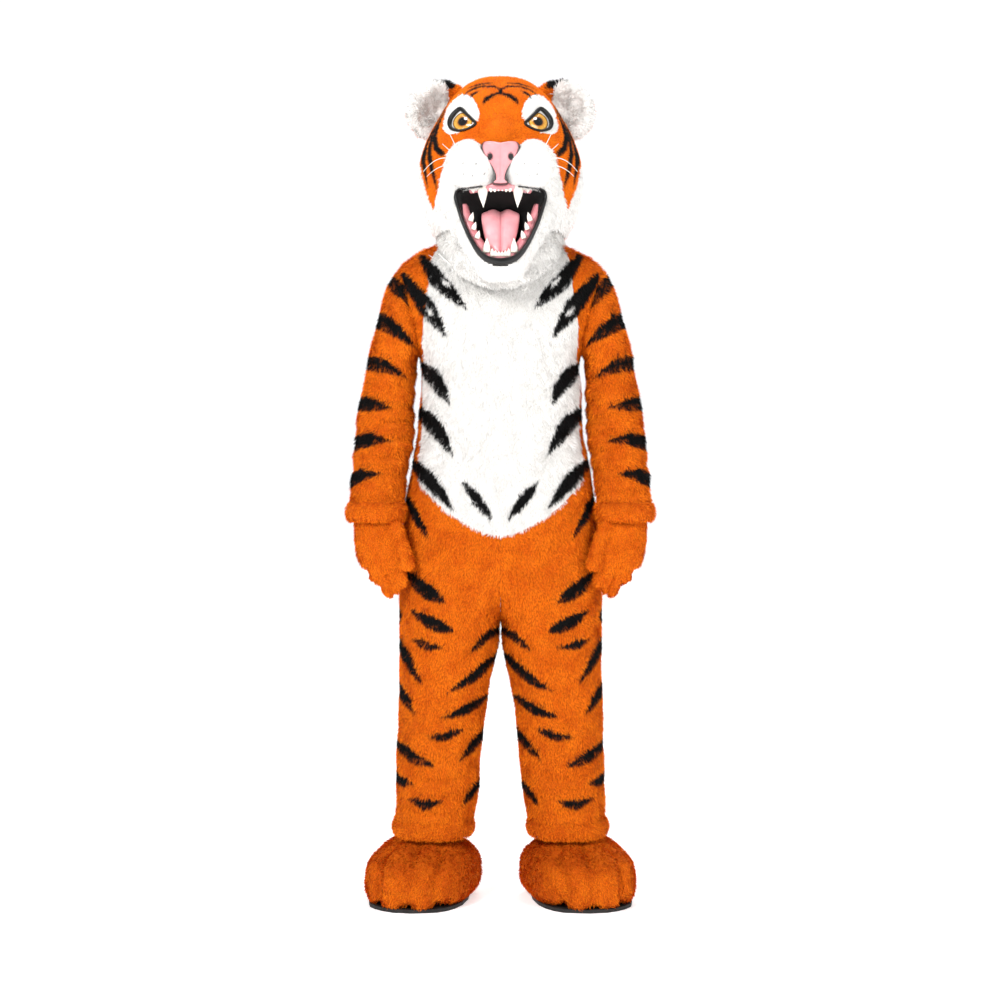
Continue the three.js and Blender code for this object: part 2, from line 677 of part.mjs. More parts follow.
// The dark pouch behind the lips, as a solid; `shift` lengthens it forward and shortens it at the back
function pouch(inner, grow, shift) {
  const rows = shift > 0 ? [{ ...liningRows[0], y: -260 }, ...liningRows] : liningRows;
  return loft(rows.map((row, index) => {
    return mouthRing(inner, row.scale, row.y - (index === rows.length - 1 ? shift : 0), grow);
  }));
}

function makeMouth(mouthFull, bothMuzzles, noseCut) {
  const inner = lipInside(mouthFull);
  const lipLayer = headOutside(lipBand.proud).subtract(headOutside(-lipBand.behind));
  const upper = block(-far, far, -far, -100, 1400, 1628);
  const lips = lipLayer.intersect(prism(mouthFull, -far, -100)).subtract(prism(inner, -far, far)).intersect(upper)
    .subtract(bothMuzzles).subtract(noseCut);
  addPiece('lip_rim', lips, black, 0.3);

  addPiece('mouth_lining', pouch(inner, 0, 0).subtract(pouch(inner, -suitWall, suitWall)), black, 0.9);

  const inMouth = loft([mouthRing(inner, 0.8, -260, -4), mouthRing(inner, 0.78, -160, -4)]);
  const gumHollow = loft([mouthRing(inner, 0.62, -270, -4), mouthRing(inner, 0.56, -150, -4)]);
  const gumRing = inMouth.subtract(gumHollow);
  const lowerGum = gumRing.intersect(block(-far, far, -197, -176, 1400, 1580));
  const upperGum = gumRing.intersect(block(-far, far, -193, -176, 1592, 1700));
  const tongueSolid = (grow) => loft(tongueRows.map((row) => {
    const ring = [];
    for (let step = 0; step < 16; step += 1) {
      const angle = (2 * Math.PI * step) / 16;
      const up = (row.thick + grow) * Math.sin(angle);
      ring.push(new THREE.Vector3((row.half + grow) * Math.cos(angle), row.y + 0.5 * up, row.z + up));
    }
    return ring;
  }));
  const liningClear = pouch(inner, 0.5, 0).subtract(pouch(inner, -suitWall - 0.5, suitWall + 0.5));
  addPiece('lower_gum', lowerGum.subtract(tongueSolid(2)), pink, 0.35);
  addPiece('upper_gum', upperGum, pink, 0.35);
  addPiece('tongue', tongueSolid(0).subtract(liningClear), pink, 0.4);
}

// A pointed tooth, round in section, leaning a little with the jaw
function tooth(x, y, base, tip, radius) {
  const geometry = new THREE.ConeGeometry(radius, Math.abs(base - tip), 8);
  return rod(new THREE.Vector3(x, y, base), new THREE.Vector3(x * 0.95, y - 3, tip), geometry);
}

function makeTeeth() {
  for (const row of bigTeeth) addPair(row.name, tooth(row.x, row.y, row.base, row.tip, row.radius), ivory, 0.3);
  for (const row of toothStrips) {
    const count = Math.round((row.to - row.from) / row.pitch);
    const crowns = [];
    for (let index = 0; index <= count; index += 1) {
      const x = row.from + index * row.pitch;
      crowns.push(ellipsoid(x, row.y, row.z + row.rise * index, row.pitch * 0.56, 5, row.high, 6, 4));
    }
    if (row.paired) addPair(row.name, union(crowns), ivory, 0.3);
    else addPiece(row.name, union(crowns), ivory, 0.3);
  }
}

function makeWhiskers() {
  for (const side of [1, -1]) {
    whiskers.forEach((row, index) => {
      const from = new THREE.Vector3(side * row.out, row.y, row.z);
      const to = new THREE.Vector3(side * row.toOut, row.toY, row.toZ);
      const hair = new THREE.CylinderGeometry(0.5, whiskerRadius, from.distanceTo(to), 5);
      addPiece(`whisker_${side > 0 ? 'l' : 'r'}${index + 1}`, rod(from, to, hair), white, 0.4);
    });
  }
}

makeSuit();
makeGloves();
makeBoots();
makeHead();
makeTeeth();
makeWhiskers();

export default costume;
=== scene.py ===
import math

import bmesh
import bpy
import numpy as np
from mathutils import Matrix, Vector
from mathutils.bvhtree import BVHTree


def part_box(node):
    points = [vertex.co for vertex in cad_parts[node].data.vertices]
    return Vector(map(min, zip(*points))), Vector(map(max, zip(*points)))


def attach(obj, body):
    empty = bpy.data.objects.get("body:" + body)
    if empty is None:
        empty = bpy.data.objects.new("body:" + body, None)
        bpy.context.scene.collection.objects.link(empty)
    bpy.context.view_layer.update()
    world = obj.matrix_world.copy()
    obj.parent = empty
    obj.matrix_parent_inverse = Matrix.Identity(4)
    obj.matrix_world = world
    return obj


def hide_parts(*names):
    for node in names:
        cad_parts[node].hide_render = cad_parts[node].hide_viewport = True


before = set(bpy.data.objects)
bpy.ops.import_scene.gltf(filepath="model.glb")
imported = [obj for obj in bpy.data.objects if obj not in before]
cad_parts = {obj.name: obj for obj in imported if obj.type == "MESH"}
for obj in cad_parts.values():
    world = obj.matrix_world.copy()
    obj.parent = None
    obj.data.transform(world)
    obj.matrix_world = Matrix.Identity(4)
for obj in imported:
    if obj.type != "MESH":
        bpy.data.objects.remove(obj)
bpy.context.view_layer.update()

# The origin is the shoulder line. The tables below give heights above the floor, in millimetres.
mm = 0.001
floorZ = min(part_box("boot_sole_l")[0][2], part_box("boot_sole_r")[0][2])

suit = {
    "pile": 11.0,  # mm, how long the plush is
    "bladeWidth": 2.3,
    "perSquareMetre": 182000,
    "wall": 2.6,
    "cell": 13.0,  # mm, size of a face of the cloth
    "inset": 3.5,  # mm, how far the knitted backing lies inside the combed surface
    "rise": 0.42,  # how far the pile stands up, from 0 flat to 1 upright
    "tangle": 0.55,
}
colours = {
    # the three root colours are painted shade, darkening the plush at the roots of its blades where they
    # shade each other
    "orangeTip": (0.92, 0.215, 0.006, 1),
    "orangeMid": (0.74, 0.125, 0.003, 1),
    "orangeRootShade": (0.33, 0.045, 0.002, 1),
    "whiteTip": (0.90, 0.892, 0.875, 1),
    "whiteMid": (0.84, 0.825, 0.80, 1),
    "whiteRootShade": (0.72, 0.695, 0.665, 1),
    "blackTip": (0.005, 0.0045, 0.0045, 1),
    "blackRootShade": (0.002, 0.002, 0.002, 1),
}

# small tools for smooth tables, grids and meshes


def column(rows, name, at, key="z"):
    # a smooth curve through one column of a table
    keys = np.array([row[key] for row in rows], float)
    values = np.array([row[name] for row in rows], float)
    at = np.clip(np.asarray(at, float), keys[0], keys[-1])
    slopes = np.gradient(values, keys)
    place = np.clip(np.searchsorted(keys, at) - 1, 0, len(keys) - 2)
    span = keys[place + 1] - keys[place]
    t = (at - keys[place]) / span
    a = (1 + 2 * t) * (1 - t) ** 2
    b = t * (1 - t) ** 2
    c = t * t * (3 - 2 * t)
    d = t * t * (t - 1)
    return (a * values[place] + b * span * slopes[place]
            + c * values[place + 1] + d * span * slopes[place + 1])


def power(value, n):
    return np.sign(value) * np.abs(value) ** (2 / n)


def unit(vectors):
    return vectors / np.maximum(np.linalg.norm(vectors, axis=-1, keepdims=True), 1e-9)


def gridFaces(rows, columns, closed=False):
    # quads of a grid of rows x columns points; closed joins the last column to the first
    r, c = np.meshgrid(np.arange(rows - 1), np.arange(columns if closed else columns - 1), indexing="ij")
    a = (r * columns + c).ravel()
    b = (r * columns + (c + 1) % columns).ravel()
    return np.stack([a, b, b + columns, a + columns], 1)


def normalsOf(points, faces):
    found = np.zeros_like(points)
    a, b, c = points[faces[:, 0]], points[faces[:, 1]], points[faces[:, 2]]
    d = points[faces[:, -1]]
    across = np.cross(c - a, d - b) if faces.shape[1] == 4 else np.cross(b - a, c - a)
    for corner in range(faces.shape[1]):
        np.add.at(found, faces[:, corner], across)
    return unit(found)


def fillMesh(mesh, points, faces):
    # puts points (mm above the floor) and faces of one size into an empty mesh
    placed = np.array(points, float) * mm
    placed[:, 2] += floorZ
    sides = faces.shape[1]
    mesh.vertices.add(len(placed))
    mesh.vertices.foreach_set("co", placed.astype(np.float32).ravel())
    mesh.loops.add(len(faces) * sides)
    mesh.loops.foreach_set("vertex_index", faces.astype(np.int32).ravel())
    mesh.polygons.add(len(faces))
    mesh.polygons.foreach_set("loop_start", np.arange(len(faces), dtype=np.int32) * sides)
    mesh.update(calc_edges=True)
    mesh.validate()


def newPiece(name, points, faces, material, smooth=True):
    mesh = bpy.data.meshes.new(name)
    fillMesh(mesh, points, faces)
    mesh.materials.append(material)
    if smooth:
        mesh.polygons.foreach_set("use_smooth", np.ones(len(mesh.polygons), bool))
    piece = bpy.data.objects.new(name, mesh)
    bpy.context.collection.objects.link(piece)
    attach(piece, "root")
    return piece


def addValues(mesh, name, values):
    layer = mesh.attributes.new(name, "FLOAT", "POINT")
    layer.data.foreach_set("value", np.asarray(values, np.float32))


def addMap(mesh, cornerPlaces):
    layer = mesh.uv_layers.new(name="OFBake")
    layer.uv.foreach_set("vector", np.asarray(cornerPlaces, np.float32).ravel())


# marks, folds and unevenness, all by place


def waves(points, size, seed, octaves=3):
    # smooth unevenness from -1 to 1, with bumps about `size` mm across
    random = np.random.default_rng(seed)
    total = np.zeros(len(points))
    weight = 0.0
    for octave in range(octaves):
        for _ in range(5):
            direction = unit(random.normal(size=3))
            phase = random.uniform(0, 2 * math.pi)
            rate = 2 * math.pi / (size * random.uniform(0.8, 1.25)) * 2 ** octave
            total += np.sin(points @ direction * rate + phase) / 1.7 ** octave
        weight += 5 / 1.7 ** octave
    return total / weight * 2.2


def strokeAmount(across, up, strokes):
    # how deep a place lies inside any stroke, in mm; below 0 is outside
    deepest = np.full(len(across), -1e3)
    for stroke in strokes:
        path = np.array(stroke["path"], float)
        starts, ends = path[:-1], path[1:]
        lengths = np.linalg.norm(ends - starts, axis=1)
        run = np.concatenate([[0], np.cumsum(lengths)]) / lengths.sum()
        fat = stroke.get("fat", 0.35)  # where along it the stroke is widest
        lead, tail = stroke.get("lead", 0.0), stroke.get("tail", 0.0)
        for index in range(len(starts)):
            step = ends[index] - starts[index]
            t = ((across - starts[index][0]) * step[0] + (up - starts[index][1]) * step[1])
            t = np.clip(t / (lengths[index] ** 2), 0, 1)
            gap = np.hypot(across - starts[index][0] - t * step[0], up - starts[index][1] - t * step[1])
            s = run[index] + t * (run[index + 1] - run[index])
            swell = np.where(s < fat, lead + (1 - lead) * np.sin(s / fat * math.pi / 2),
                             tail + (1 - tail) * np.cos((s - fat) / (1 - fat) * math.pi / 2))
            deepest = np.maximum(deepest, stroke["width"] / 2 * swell - gap)
        for hole in stroke.get("holes", []):
            along, beside = hole["axis"], (-hole["axis"][1], hole["axis"][0])
            a = (across - hole["x"]) * along[0] + (up - hole["z"]) * along[1]
            b = (across - hole["x"]) * beside[0] + (up - hole["z"]) * beside[1]
            inside = (1 - np.abs(a) / hole["long"] - np.abs(b) / hole["wide"]) * hole["wide"]
            deepest = np.minimum(deepest, -inside)
    return deepest


def mirroredStrokes(strokes):
    other = []
    for stroke in strokes:
        path = [(-x, z) for x, z in stroke["path"]]
        twin = dict(stroke, path=path)
        if "holes" in stroke:
            twin["holes"] = [dict(hole, x=-hole["x"], axis=(-hole["axis"][0], hole["axis"][1]))
                             for hole in stroke["holes"]]
        other.append(twin)
    return other


def foldDepth(points, folds, side):
    # soft troughs (depth below 0) and ridges; side +1 is the back, -1 the front
    total = np.zeros(len(points))
    for fold in folds:
        if fold["side"] != side:
            continue
        (x0, z0), (x1, z1) = fold["path"]
        length = math.hypot(x1 - x0, z1 - z0)
        ux, uz = (x1 - x0) / length, (z1 - z0) / length
        s = ((points[:, 0] - x0) * ux + (points[:, 2] - z0) * uz) / length
        bow = fold.get("bow", 0.0) * 4 * s * (1 - s)
        off = -(points[:, 0] - x0) * uz + (points[:, 2] - z0) * ux - bow
        ends = np.clip(np.minimum(s, 1 - s) / 0.3 + 0.35, 0, 1)
        ends = ends * ends * (3 - 2 * ends)
        shape = np.exp(-(off / fold["width"]) ** 2)
        rim = np.exp(-((off - 1.9 * fold["width"]) / (fold["width"] * 1.1)) ** 2)
        total += fold["depth"] * ends * (shape - 0.45 * rim)
    return total


def showTime(words):
    print("stage:", words, flush=True)


showTime("tools ready")

# materials


def newGroup(name, inputs, outputs):
    group = bpy.data.node_groups.new(name, "ShaderNodeTree")
    for label, kind, start in inputs:
        socket = group.interface.new_socket(label, in_out="INPUT", socket_type=kind)
        socket.default_value = start
    for label, kind in outputs:
        group.interface.new_socket(label, in_out="OUTPUT", socket_type=kind)
    nodes = group.nodes
    return group, nodes, nodes.new("NodeGroupInput"), nodes.new("NodeGroupOutput")


def mixColours(nodes, links, factor, first, second, blend="MIX"):
    mix = nodes.new("ShaderNodeMix")
    mix.data_type = "RGBA"
    mix.blend_type = blend
    for value, socket in ((factor, mix.inputs[0]), (first, mix.inputs[6]), (second, mix.inputs[7])):
        if isinstance(value, bpy.types.NodeSocket):
            links.new(value, socket)
        else:
            socket.default_value = value
    return mix.outputs[2]


def rangeOf(nodes, links, value, low, high, outLow=0.0, outHigh=1.0):
    node = nodes.new("ShaderNodeMapRange")
    links.new(value, node.inputs["Value"])
    for label, number in (("From Min", low), ("From Max", high), ("To Min", outLow), ("To Max", outHigh)):
        node.inputs[label].default_value = number
    return node.outputs[0]


def makePileGroup():
    # colour of a blade of plush: painted shade darkens it at the root, lighter at the tip, black where it is
    # marked
    inputs = [(label, "NodeSocketColor", (0.5, 0.5, 0.5, 1)) for label in ("RootShade", "Middle", "Tip")]
    inputs += [("Mottle", "NodeSocketFloat", 0.5)]
    group, nodes, given, result = newGroup("plushColour", inputs,
                                           [("Color", "NodeSocketColor"), ("Roughness", "NodeSocketFloat")])
    links = group.links
    values = {}
    for name in ("mark", "tuft", "along"):
        node = nodes.new("ShaderNodeAttribute")
        node.attribute_name = name
        values[name] = node.outputs["Fac"]
    place = nodes.new("ShaderNodeTexCoord")
    noise = nodes.new("ShaderNodeTexNoise")
    noise.inputs["Scale"].default_value = 26.0
    noise.inputs["Detail"].default_value = 3.0
    links.new(place.outputs["Object"], noise.inputs["Vector"])
    patch = rangeOf(nodes, links, noise.outputs["Fac"], 0.34, 0.66)
    patched = nodes.new("ShaderNodeMath")
    patched.operation = "MULTIPLY"
    links.new(patch, patched.inputs[0])
    links.new(given.outputs["Mottle"], patched.inputs[1])
    lightness = nodes.new("ShaderNodeMath")
    lightness.operation = "ADD"
    links.new(values["tuft"], lightness.inputs[0])
    links.new(patched.outputs[0], lightness.inputs[1])
    tone = rangeOf(nodes, links, lightness.outputs[0], 0.15, 1.25)
    upper = mixColours(nodes, links, tone, given.outputs["Middle"], given.outputs["Tip"])
    # painted shade: near its root the blade takes the root shade colour, fading to its own colour by 0.62 of
    # its length
    height = rangeOf(nodes, links, values["along"], 0.0, 0.62)
    ground = mixColours(nodes, links, height, given.outputs["RootShade"], upper)
    black = mixColours(nodes, links, values["along"], colours["blackRootShade"], colours["blackTip"])
    links.new(mixColours(nodes, links, values["mark"], ground, black), result.inputs["Color"])
    links.new(rangeOf(nodes, links, values["mark"], 0, 1, 0.86, 0.72), result.inputs["Roughness"])
    return group


pileGroup = makePileGroup()


def principled(name):
    material = bpy.data.materials.new(name)
    material.use_nodes = True
    nodes, links = material.node_tree.nodes, material.node_tree.links
    return material, nodes, links, nodes["Principled BSDF"]


def plushMaterial(name, tone, mottle):
    material, nodes, links, shader = principled(name)
    colour = nodes.new("ShaderNodeGroup")
    colour.node_tree = pileGroup
    for label, key in (("RootShade", "RootShade"), ("Middle", "Mid"), ("Tip", "Tip")):
        colour.inputs[label].default_value = colours[tone + key]
    colour.inputs["Mottle"].default_value = mottle
    links.new(colour.outputs["Color"], shader.inputs["Base Color"])
    links.new(colour.outputs["Roughness"], shader.inputs["Roughness"])
    shader.inputs["Specular IOR Level"].default_value = 0.12
    return material


orangePlush = plushMaterial("orangePlush", "orange", 0.8)
whitePlush = plushMaterial("whitePlush", "white", 0.6)

# plush: thousands of short blades rooted on a surface


def triangled(faces):
    if faces.shape[1] == 3:
        return faces
    return np.concatenate([faces[:, [0, 1, 2]], faces[:, [0, 2, 3]]])


def scatter(points, faces, perSquareMetre, seed):
    # evenly random roots on a surface, with the surface's normals there
    random = np.random.default_rng(seed)
    normals = normalsOf(points, faces)
    tris = triangled(faces)
    corner = points[tris]
    areas = np.linalg.norm(np.cross(corner[:, 1] - corner[:, 0], corner[:, 2] - corner[:, 0]), axis=1) / 2
    count = int(areas.sum() * 1e-6 * perSquareMetre)
    pick = np.searchsorted(np.cumsum(areas) / areas.sum(), random.random(count))
    u, v = random.random(count), random.random(count)
    over = u + v > 1
    u[over], v[over] = 1 - u[over], 1 - v[over]
    weights = np.stack([1 - u - v, u, v], 1)
    roots = (points[tris[pick]] * weights[:, :, None]).sum(1)
    return roots, unit((normals[tris[pick]] * weights[:, :, None]).sum(1))


def growPlush(name, points, faces, material, look, lay, paint=None, keep=None, seed=1):
    roots, normal = scatter(points, faces, look["perSquareMetre"], seed)
    if keep is not None:
        held = keep(roots)
        roots, normal = roots[held], normal[held]
    return plantBlades(name, roots, normal, material, look, lay, paint, seed)


def plantBlades(name, roots, normal, material, look, lay, paint=None, seed=1):
    # look: pile, bladeWidth, rise and tangle; lay gives each root's combed direction
    random = np.random.default_rng(seed + 500)
    count = len(roots)
    combed = lay(roots)
    swirl = np.stack([waves(roots, look.get("swirl", 46.0), seed + n, 2) for n in (11, 12, 13)], 1)
    combed = combed + swirl * look["tangle"]
    combed -= normal * (combed * normal).sum(1, keepdims=True)
    combed = unit(combed + random.normal(size=(count, 3)) * 0.18)
    rise = look["rise"] + random.normal(size=(count, 1)) * 0.10
    direction = unit(combed * np.sqrt(np.clip(1 - rise ** 2, 0.05, 1)) + normal * np.clip(rise, 0.15, 0.95))
    mark = paint(roots) if paint else np.zeros(count)
    length = look["pile"] * random.uniform(0.72, 1.22, count) * (1 + 0.12 * waves(roots, 30, seed + 5, 2))
    side = unit(np.cross(direction, normal) + random.normal(size=(count, 3)) * 0.32)
    half = side * (look["bladeWidth"] * random.uniform(0.75, 1.25, (count, 1)) / 2)
    base = roots - normal * 0.6
    tip = roots + direction * length[:, None]
    facing = (np.cross(half, direction) * normal).sum(1) < 0
    half[facing] *= -1
    vertices = np.stack([base - half, base + half, tip], 1).reshape(-1, 3)
    blades = np.arange(count * 3).reshape(-1, 3)
    piece = newPiece(name, vertices, blades, material, smooth=False)
    tuft = np.clip(random.random(count) * 0.75 + 0.25 * (0.5 + 0.5 * waves(roots, 17, seed + 6, 2)), 0, 1)
    addValues(piece.data, "mark", np.repeat(mark, 3))
    addValues(piece.data, "tuft", np.repeat(tuft, 3))
    addValues(piece.data, "along", np.tile([0.0, 0.0, 1.0], count))
    flat = flatPlaces(roots)
    grain = 0.0012
    corners = np.stack([flat, flat + [grain, 0], flat + [grain / 2, grain * 2]], 1)
    addMap(piece.data, np.clip(corners.reshape(-1, 2), 0, 1))
    return piece


def flatPlaces(roots):
    # the roots laid out flat: front and back halves side by side, filling the square
    low, high = roots.min(0), roots.max(0)
    span = np.maximum(high - low, 1.0)
    middle = (low[1] + high[1]) / 2
    across = (roots[:, 0] - low[0]) / span[0] * 0.47
    return np.stack([np.where(roots[:, 1] < middle, 0.01 + across, 0.52 + across),
                     0.01 + 0.97 * (roots[:, 2] - low[2]) / span[2]], 1)


def clothOf(name, points, faces, material, node, thickness, paint=None):
    # the knitted backing: a thin wall built from its outer face
    normals = normalsOf(points, faces)
    inner = points - normals * thickness
    count = len(points)
    walls = [faces, faces[:, ::-1] + count]
    edges = np.concatenate([faces[:, [k, (k + 1) % faces.shape[1]]] for k in range(faces.shape[1])])
    keys = edges[:, 0].astype(np.int64) * count + edges[:, 1]
    twins = edges[:, 1].astype(np.int64) * count + edges[:, 0]
    rim = edges[~np.isin(keys, twins)]
    sides = np.stack([rim[:, 1], rim[:, 0], rim[:, 0] + count, rim[:, 1] + count], 1)
    if faces.shape[1] == 3:
        sides = triangled(sides)
    piece = newPiece(name, np.concatenate([points, inner]), np.concatenate(walls + [sides]), material)
    whole = np.concatenate([points, points])
    addValues(piece.data, "mark", paint(whole) if paint else np.zeros(len(whole)))
    addValues(piece.data, "tuft", np.full(len(whole), 0.25))
    # painted shade: the backing between the blades takes a colour part way to the root shade
    addValues(piece.data, "along", np.full(len(whole), 0.3))
    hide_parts(node)
    return piece


# the suit: one table of half sections, hem to neck

bodyRows = [
    {"z": 168, "x": 157, "half": 91, "front": 104, "back": 100},
    {"z": 250, "x": 148, "half": 96, "front": 106, "back": 103},
    {"z": 316, "x": 145, "half": 99, "front": 108, "back": 106},
    {"z": 480, "x": 132, "half": 105, "front": 115, "back": 118},
    {"z": 551, "x": 124, "half": 112, "front": 126, "back": 132},
    {"z": 610, "x": 119.5, "half": 116.5, "front": 133, "back": 141},
    {"z": 645, "x": 118, "half": 118, "front": 136, "back": 145},
    {"z": 690, "x": 96, "half": 140, "front": 139, "back": 149},
    {"z": 750, "x": 48, "half": 188, "front": 145, "back": 154},
    {"z": 810, "x": 12, "half": 223, "front": 149, "back": 156},
    {"z": 860, "x": 0, "half": 232, "front": 151, "back": 154},
    {"z": 915, "x": 0, "half": 224, "front": 152, "back": 150},
    {"z": 985, "x": 0, "half": 211, "front": 151, "back": 142},
    {"z": 1070, "x": 0, "half": 196, "front": 148, "back": 134},
    {"z": 1150, "x": 0, "half": 190, "front": 146, "back": 130},
    {"z": 1268, "x": 0, "half": 191, "front": 143, "back": 130},
    {"z": 1290, "x": 0, "half": 200, "front": 142, "back": 130},
    {"z": 1329, "x": 0, "half": 219, "front": 139, "back": 130},
    {"z": 1379, "x": 0, "half": 240, "front": 134, "back": 128},
    {"z": 1420, "x": 0, "half": 251, "front": 128, "back": 124},
    {"z": 1450, "x": 0, "half": 252, "front": 122, "back": 118},
    {"z": 1468, "x": 0, "half": 243, "front": 115, "back": 112},
    {"z": 1486, "x": 0, "half": 226, "front": 108, "back": 104},
    {"z": 1505, "x": 0, "half": 194, "front": 99, "back": 94},
    {"z": 1522, "x": 0, "half": 154, "front": 91, "back": 84},
    {"z": 1542, "x": 0, "half": 106, "front": 80, "back": 72},
]
armholeRows = [
    {"z": 1268, "x": 191.5},
    {"z": 1329, "x": 199},
    {"z": 1379, "x": 212},
    {"z": 1459, "x": 232},
    {"z": 1484, "x": 234},
]
bellyRows = [
    {"z": 847, "x": 0},
    {"z": 857, "x": 46},
    {"z": 872, "x": 75},
    {"z": 900, "x": 120},
    {"z": 939, "x": 164},
    {"z": 972, "x": 189},
    {"z": 1030, "x": 190},
    {"z": 1130, "x": 185},
    {"z": 1231, "x": 184},
    {"z": 1291, "x": 182},
    {"z": 1349, "x": 178},
    {"z": 1406, "x": 168},
    {"z": 1456, "x": 164},
    {"z": 1505, "x": 148},
    {"z": 1542, "x": 98},
]
seamPlaces = {"crotch": 645, "belly": 847, "armpit": 1268, "shoulder": 1484, "zipBottom": 860}
sectionPower = 2.3


def bellyHalf(z):
    # the first stretch is steep, so it follows a round end
    edge = column(bellyRows, "x", z)
    return np.where(z < 857, 46 * np.sqrt(np.clip((z - 847) / 10, 0, 1)), edge)


def sectionPoints(z, fromX, toX, back, count):
    # evenly spaced points along one half section, from x = fromX to x = toX
    x, half = column(bodyRows, "x", z), column(bodyRows, "half", z)
    reach = column(bodyRows, "back" if back else "front", z)

    def turn(place):
        share = np.clip((place - x) / half, -1, 1)
        return math.acos(float(np.clip(power(share, 4 / sectionPower), -1, 1)))
    turns = np.linspace(turn(fromX), turn(toX), 160)
    xs = x + half * power(np.cos(turns), sectionPower)
    ys = reach * power(np.sin(turns), sectionPower) * (1 if back else -1)
    length = np.concatenate([[0], np.cumsum(np.hypot(np.diff(xs), np.diff(ys)))])
    even = np.linspace(0, length[-1], count)
    return np.stack([np.interp(even, length, xs), np.interp(even, length, ys), np.full(count, float(z))], 1)


def outerEdge(z):
    edge = column(bodyRows, "x", z) + column(bodyRows, "half", z)
    if seamPlaces["armpit"] < z < seamPlaces["shoulder"]:
        edge = min(edge, float(column(armholeRows, "x", z)))
    return float(edge)


def innerEdge(z, back):
    if z < seamPlaces["crotch"]:
        return float(column(bodyRows, "x", z) - column(bodyRows, "half", z))
    if back:
        return 9.3 if z > seamPlaces["zipBottom"] else 0.15
    return max(float(bellyHalf(z)), 0.15) if z > seamPlaces["belly"] else 0.15


def bodyPanel(back, heights, count, fromEdge, toEdge):
    rows = [sectionPoints(z, fromEdge(z), toEdge(z), back, count) for z in heights]
    return np.concatenate(rows), gridFaces(len(heights), count)


def mirrorX(points):
    return points * np.array([-1.0, 1.0, 1.0])


def shapeCloth(points, faces, folds, side, roughness=2.2):
    # moves a panel along its normals by its folds and by a little unevenness
    normals = normalsOf(points, faces)
    move = foldDepth(points, folds, side) + roughness * waves(points, 150, 7, 2) - suit["inset"]
    return points + normals * move[:, None]


showTime("tables ready")

# folds and stripes of the suit

# across and up, as seen from the front; side -1 is the front, 1 the back
bodyFolds = [
    {"side": -1, "path": [(-72, 880), (-6, 662)], "width": 17, "depth": -7, "bow": 12},
    {"side": -1, "path": [(76, 884), (8, 658)], "width": 18, "depth": -7, "bow": -10},
    {"side": -1, "path": [(-158, 838), (-42, 690)], "width": 22, "depth": -5, "bow": 8},
    {"side": -1, "path": [(166, 846), (50, 700)], "width": 20, "depth": -5, "bow": -9},
    {"side": -1, "path": [(-205, 758), (-118, 628)], "width": 24, "depth": -4, "bow": 6},
    {"side": -1, "path": [(210, 748), (122, 610)], "width": 24, "depth": -4, "bow": -6},
    {"side": -1, "path": [(-24, 622), (-82, 560)], "width": 15, "depth": -5},
    {"side": -1, "path": [(26, 616), (92, 566)], "width": 15, "depth": -5},
    {"side": -1, "path": [(-186, 283), (-82, 298)], "width": 11, "depth": -9, "bow": -9},
    {"side": -1, "path": [(184, 288), (86, 301)], "width": 11, "depth": -9, "bow": 9},
    {"side": -1, "path": [(-208, 208), (-112, 199)], "width": 9, "depth": -6, "bow": 5},
    {"side": -1, "path": [(212, 214), (118, 200)], "width": 9, "depth": -6, "bow": -6},
    {"side": -1, "path": [(-228, 342), (-140, 322)], "width": 12, "depth": -6, "bow": 6},
    {"side": -1, "path": [(226, 350), (136, 330)], "width": 12, "depth": -6, "bow": -7},
    {"side": -1, "path": [(-62, 372), (-132, 392)], "width": 13, "depth": -5},
    {"side": -1, "path": [(60, 366), (128, 384)], "width": 13, "depth": -5},
    {"side": -1, "path": [(-70, 240), (-150, 246)], "width": 10, "depth": -5},
    {"side": -1, "path": [(72, 236), (148, 248)], "width": 10, "depth": -5},
    {"side": -1, "path": [(-196, 1272), (-120, 1196)], "width": 20, "depth": -4},
    {"side": -1, "path": [(196, 1266), (124, 1188)], "width": 20, "depth": -4},
    {"side": -1, "path": [(-188, 1108), (-110, 1040)], "width": 24, "depth": -3},
    {"side": -1, "path": [(188, 1096), (104, 1036)], "width": 24, "depth": -3},
    {"side": 1, "path": [(-150, 850), (-30, 742)], "width": 22, "depth": -6},
    {"side": 1, "path": [(148, 846), (28, 738)], "width": 22, "depth": -6},
    {"side": 1, "path": [(-196, 700), (-60, 640)], "width": 18, "depth": -6},
    {"side": 1, "path": [(198, 694), (66, 636)], "width": 18, "depth": -6},
    {"side": 1, "path": [(-212, 470), (-66, 452)], "width": 13, "depth": -8, "bow": -8},
    {"side": 1, "path": [(214, 462), (64, 446)], "width": 13, "depth": -8, "bow": 8},
    {"side": 1, "path": [(-198, 404), (-80, 420)], "width": 12, "depth": -6},
    {"side": 1, "path": [(196, 398), (88, 414)], "width": 12, "depth": -6},
    {"side": 1, "path": [(-200, 296), (-82, 284)], "width": 11, "depth": -7, "bow": 6},
    {"side": 1, "path": [(202, 288), (84, 280)], "width": 11, "depth": -7, "bow": -6},
    {"side": 1, "path": [(-192, 214), (-96, 206)], "width": 10, "depth": -5},
    {"side": 1, "path": [(194, 210), (98, 204)], "width": 10, "depth": -5},
    {"side": 1, "path": [(-178, 1188), (-60, 1128)], "width": 26, "depth": -5},
    {"side": 1, "path": [(180, 1180), (64, 1120)], "width": 26, "depth": -5},
    {"side": 1, "path": [(-186, 1010), (-40, 962)], "width": 26, "depth": -4},
    {"side": 1, "path": [(186, 1004), (44, 960)], "width": 26, "depth": -4},
]
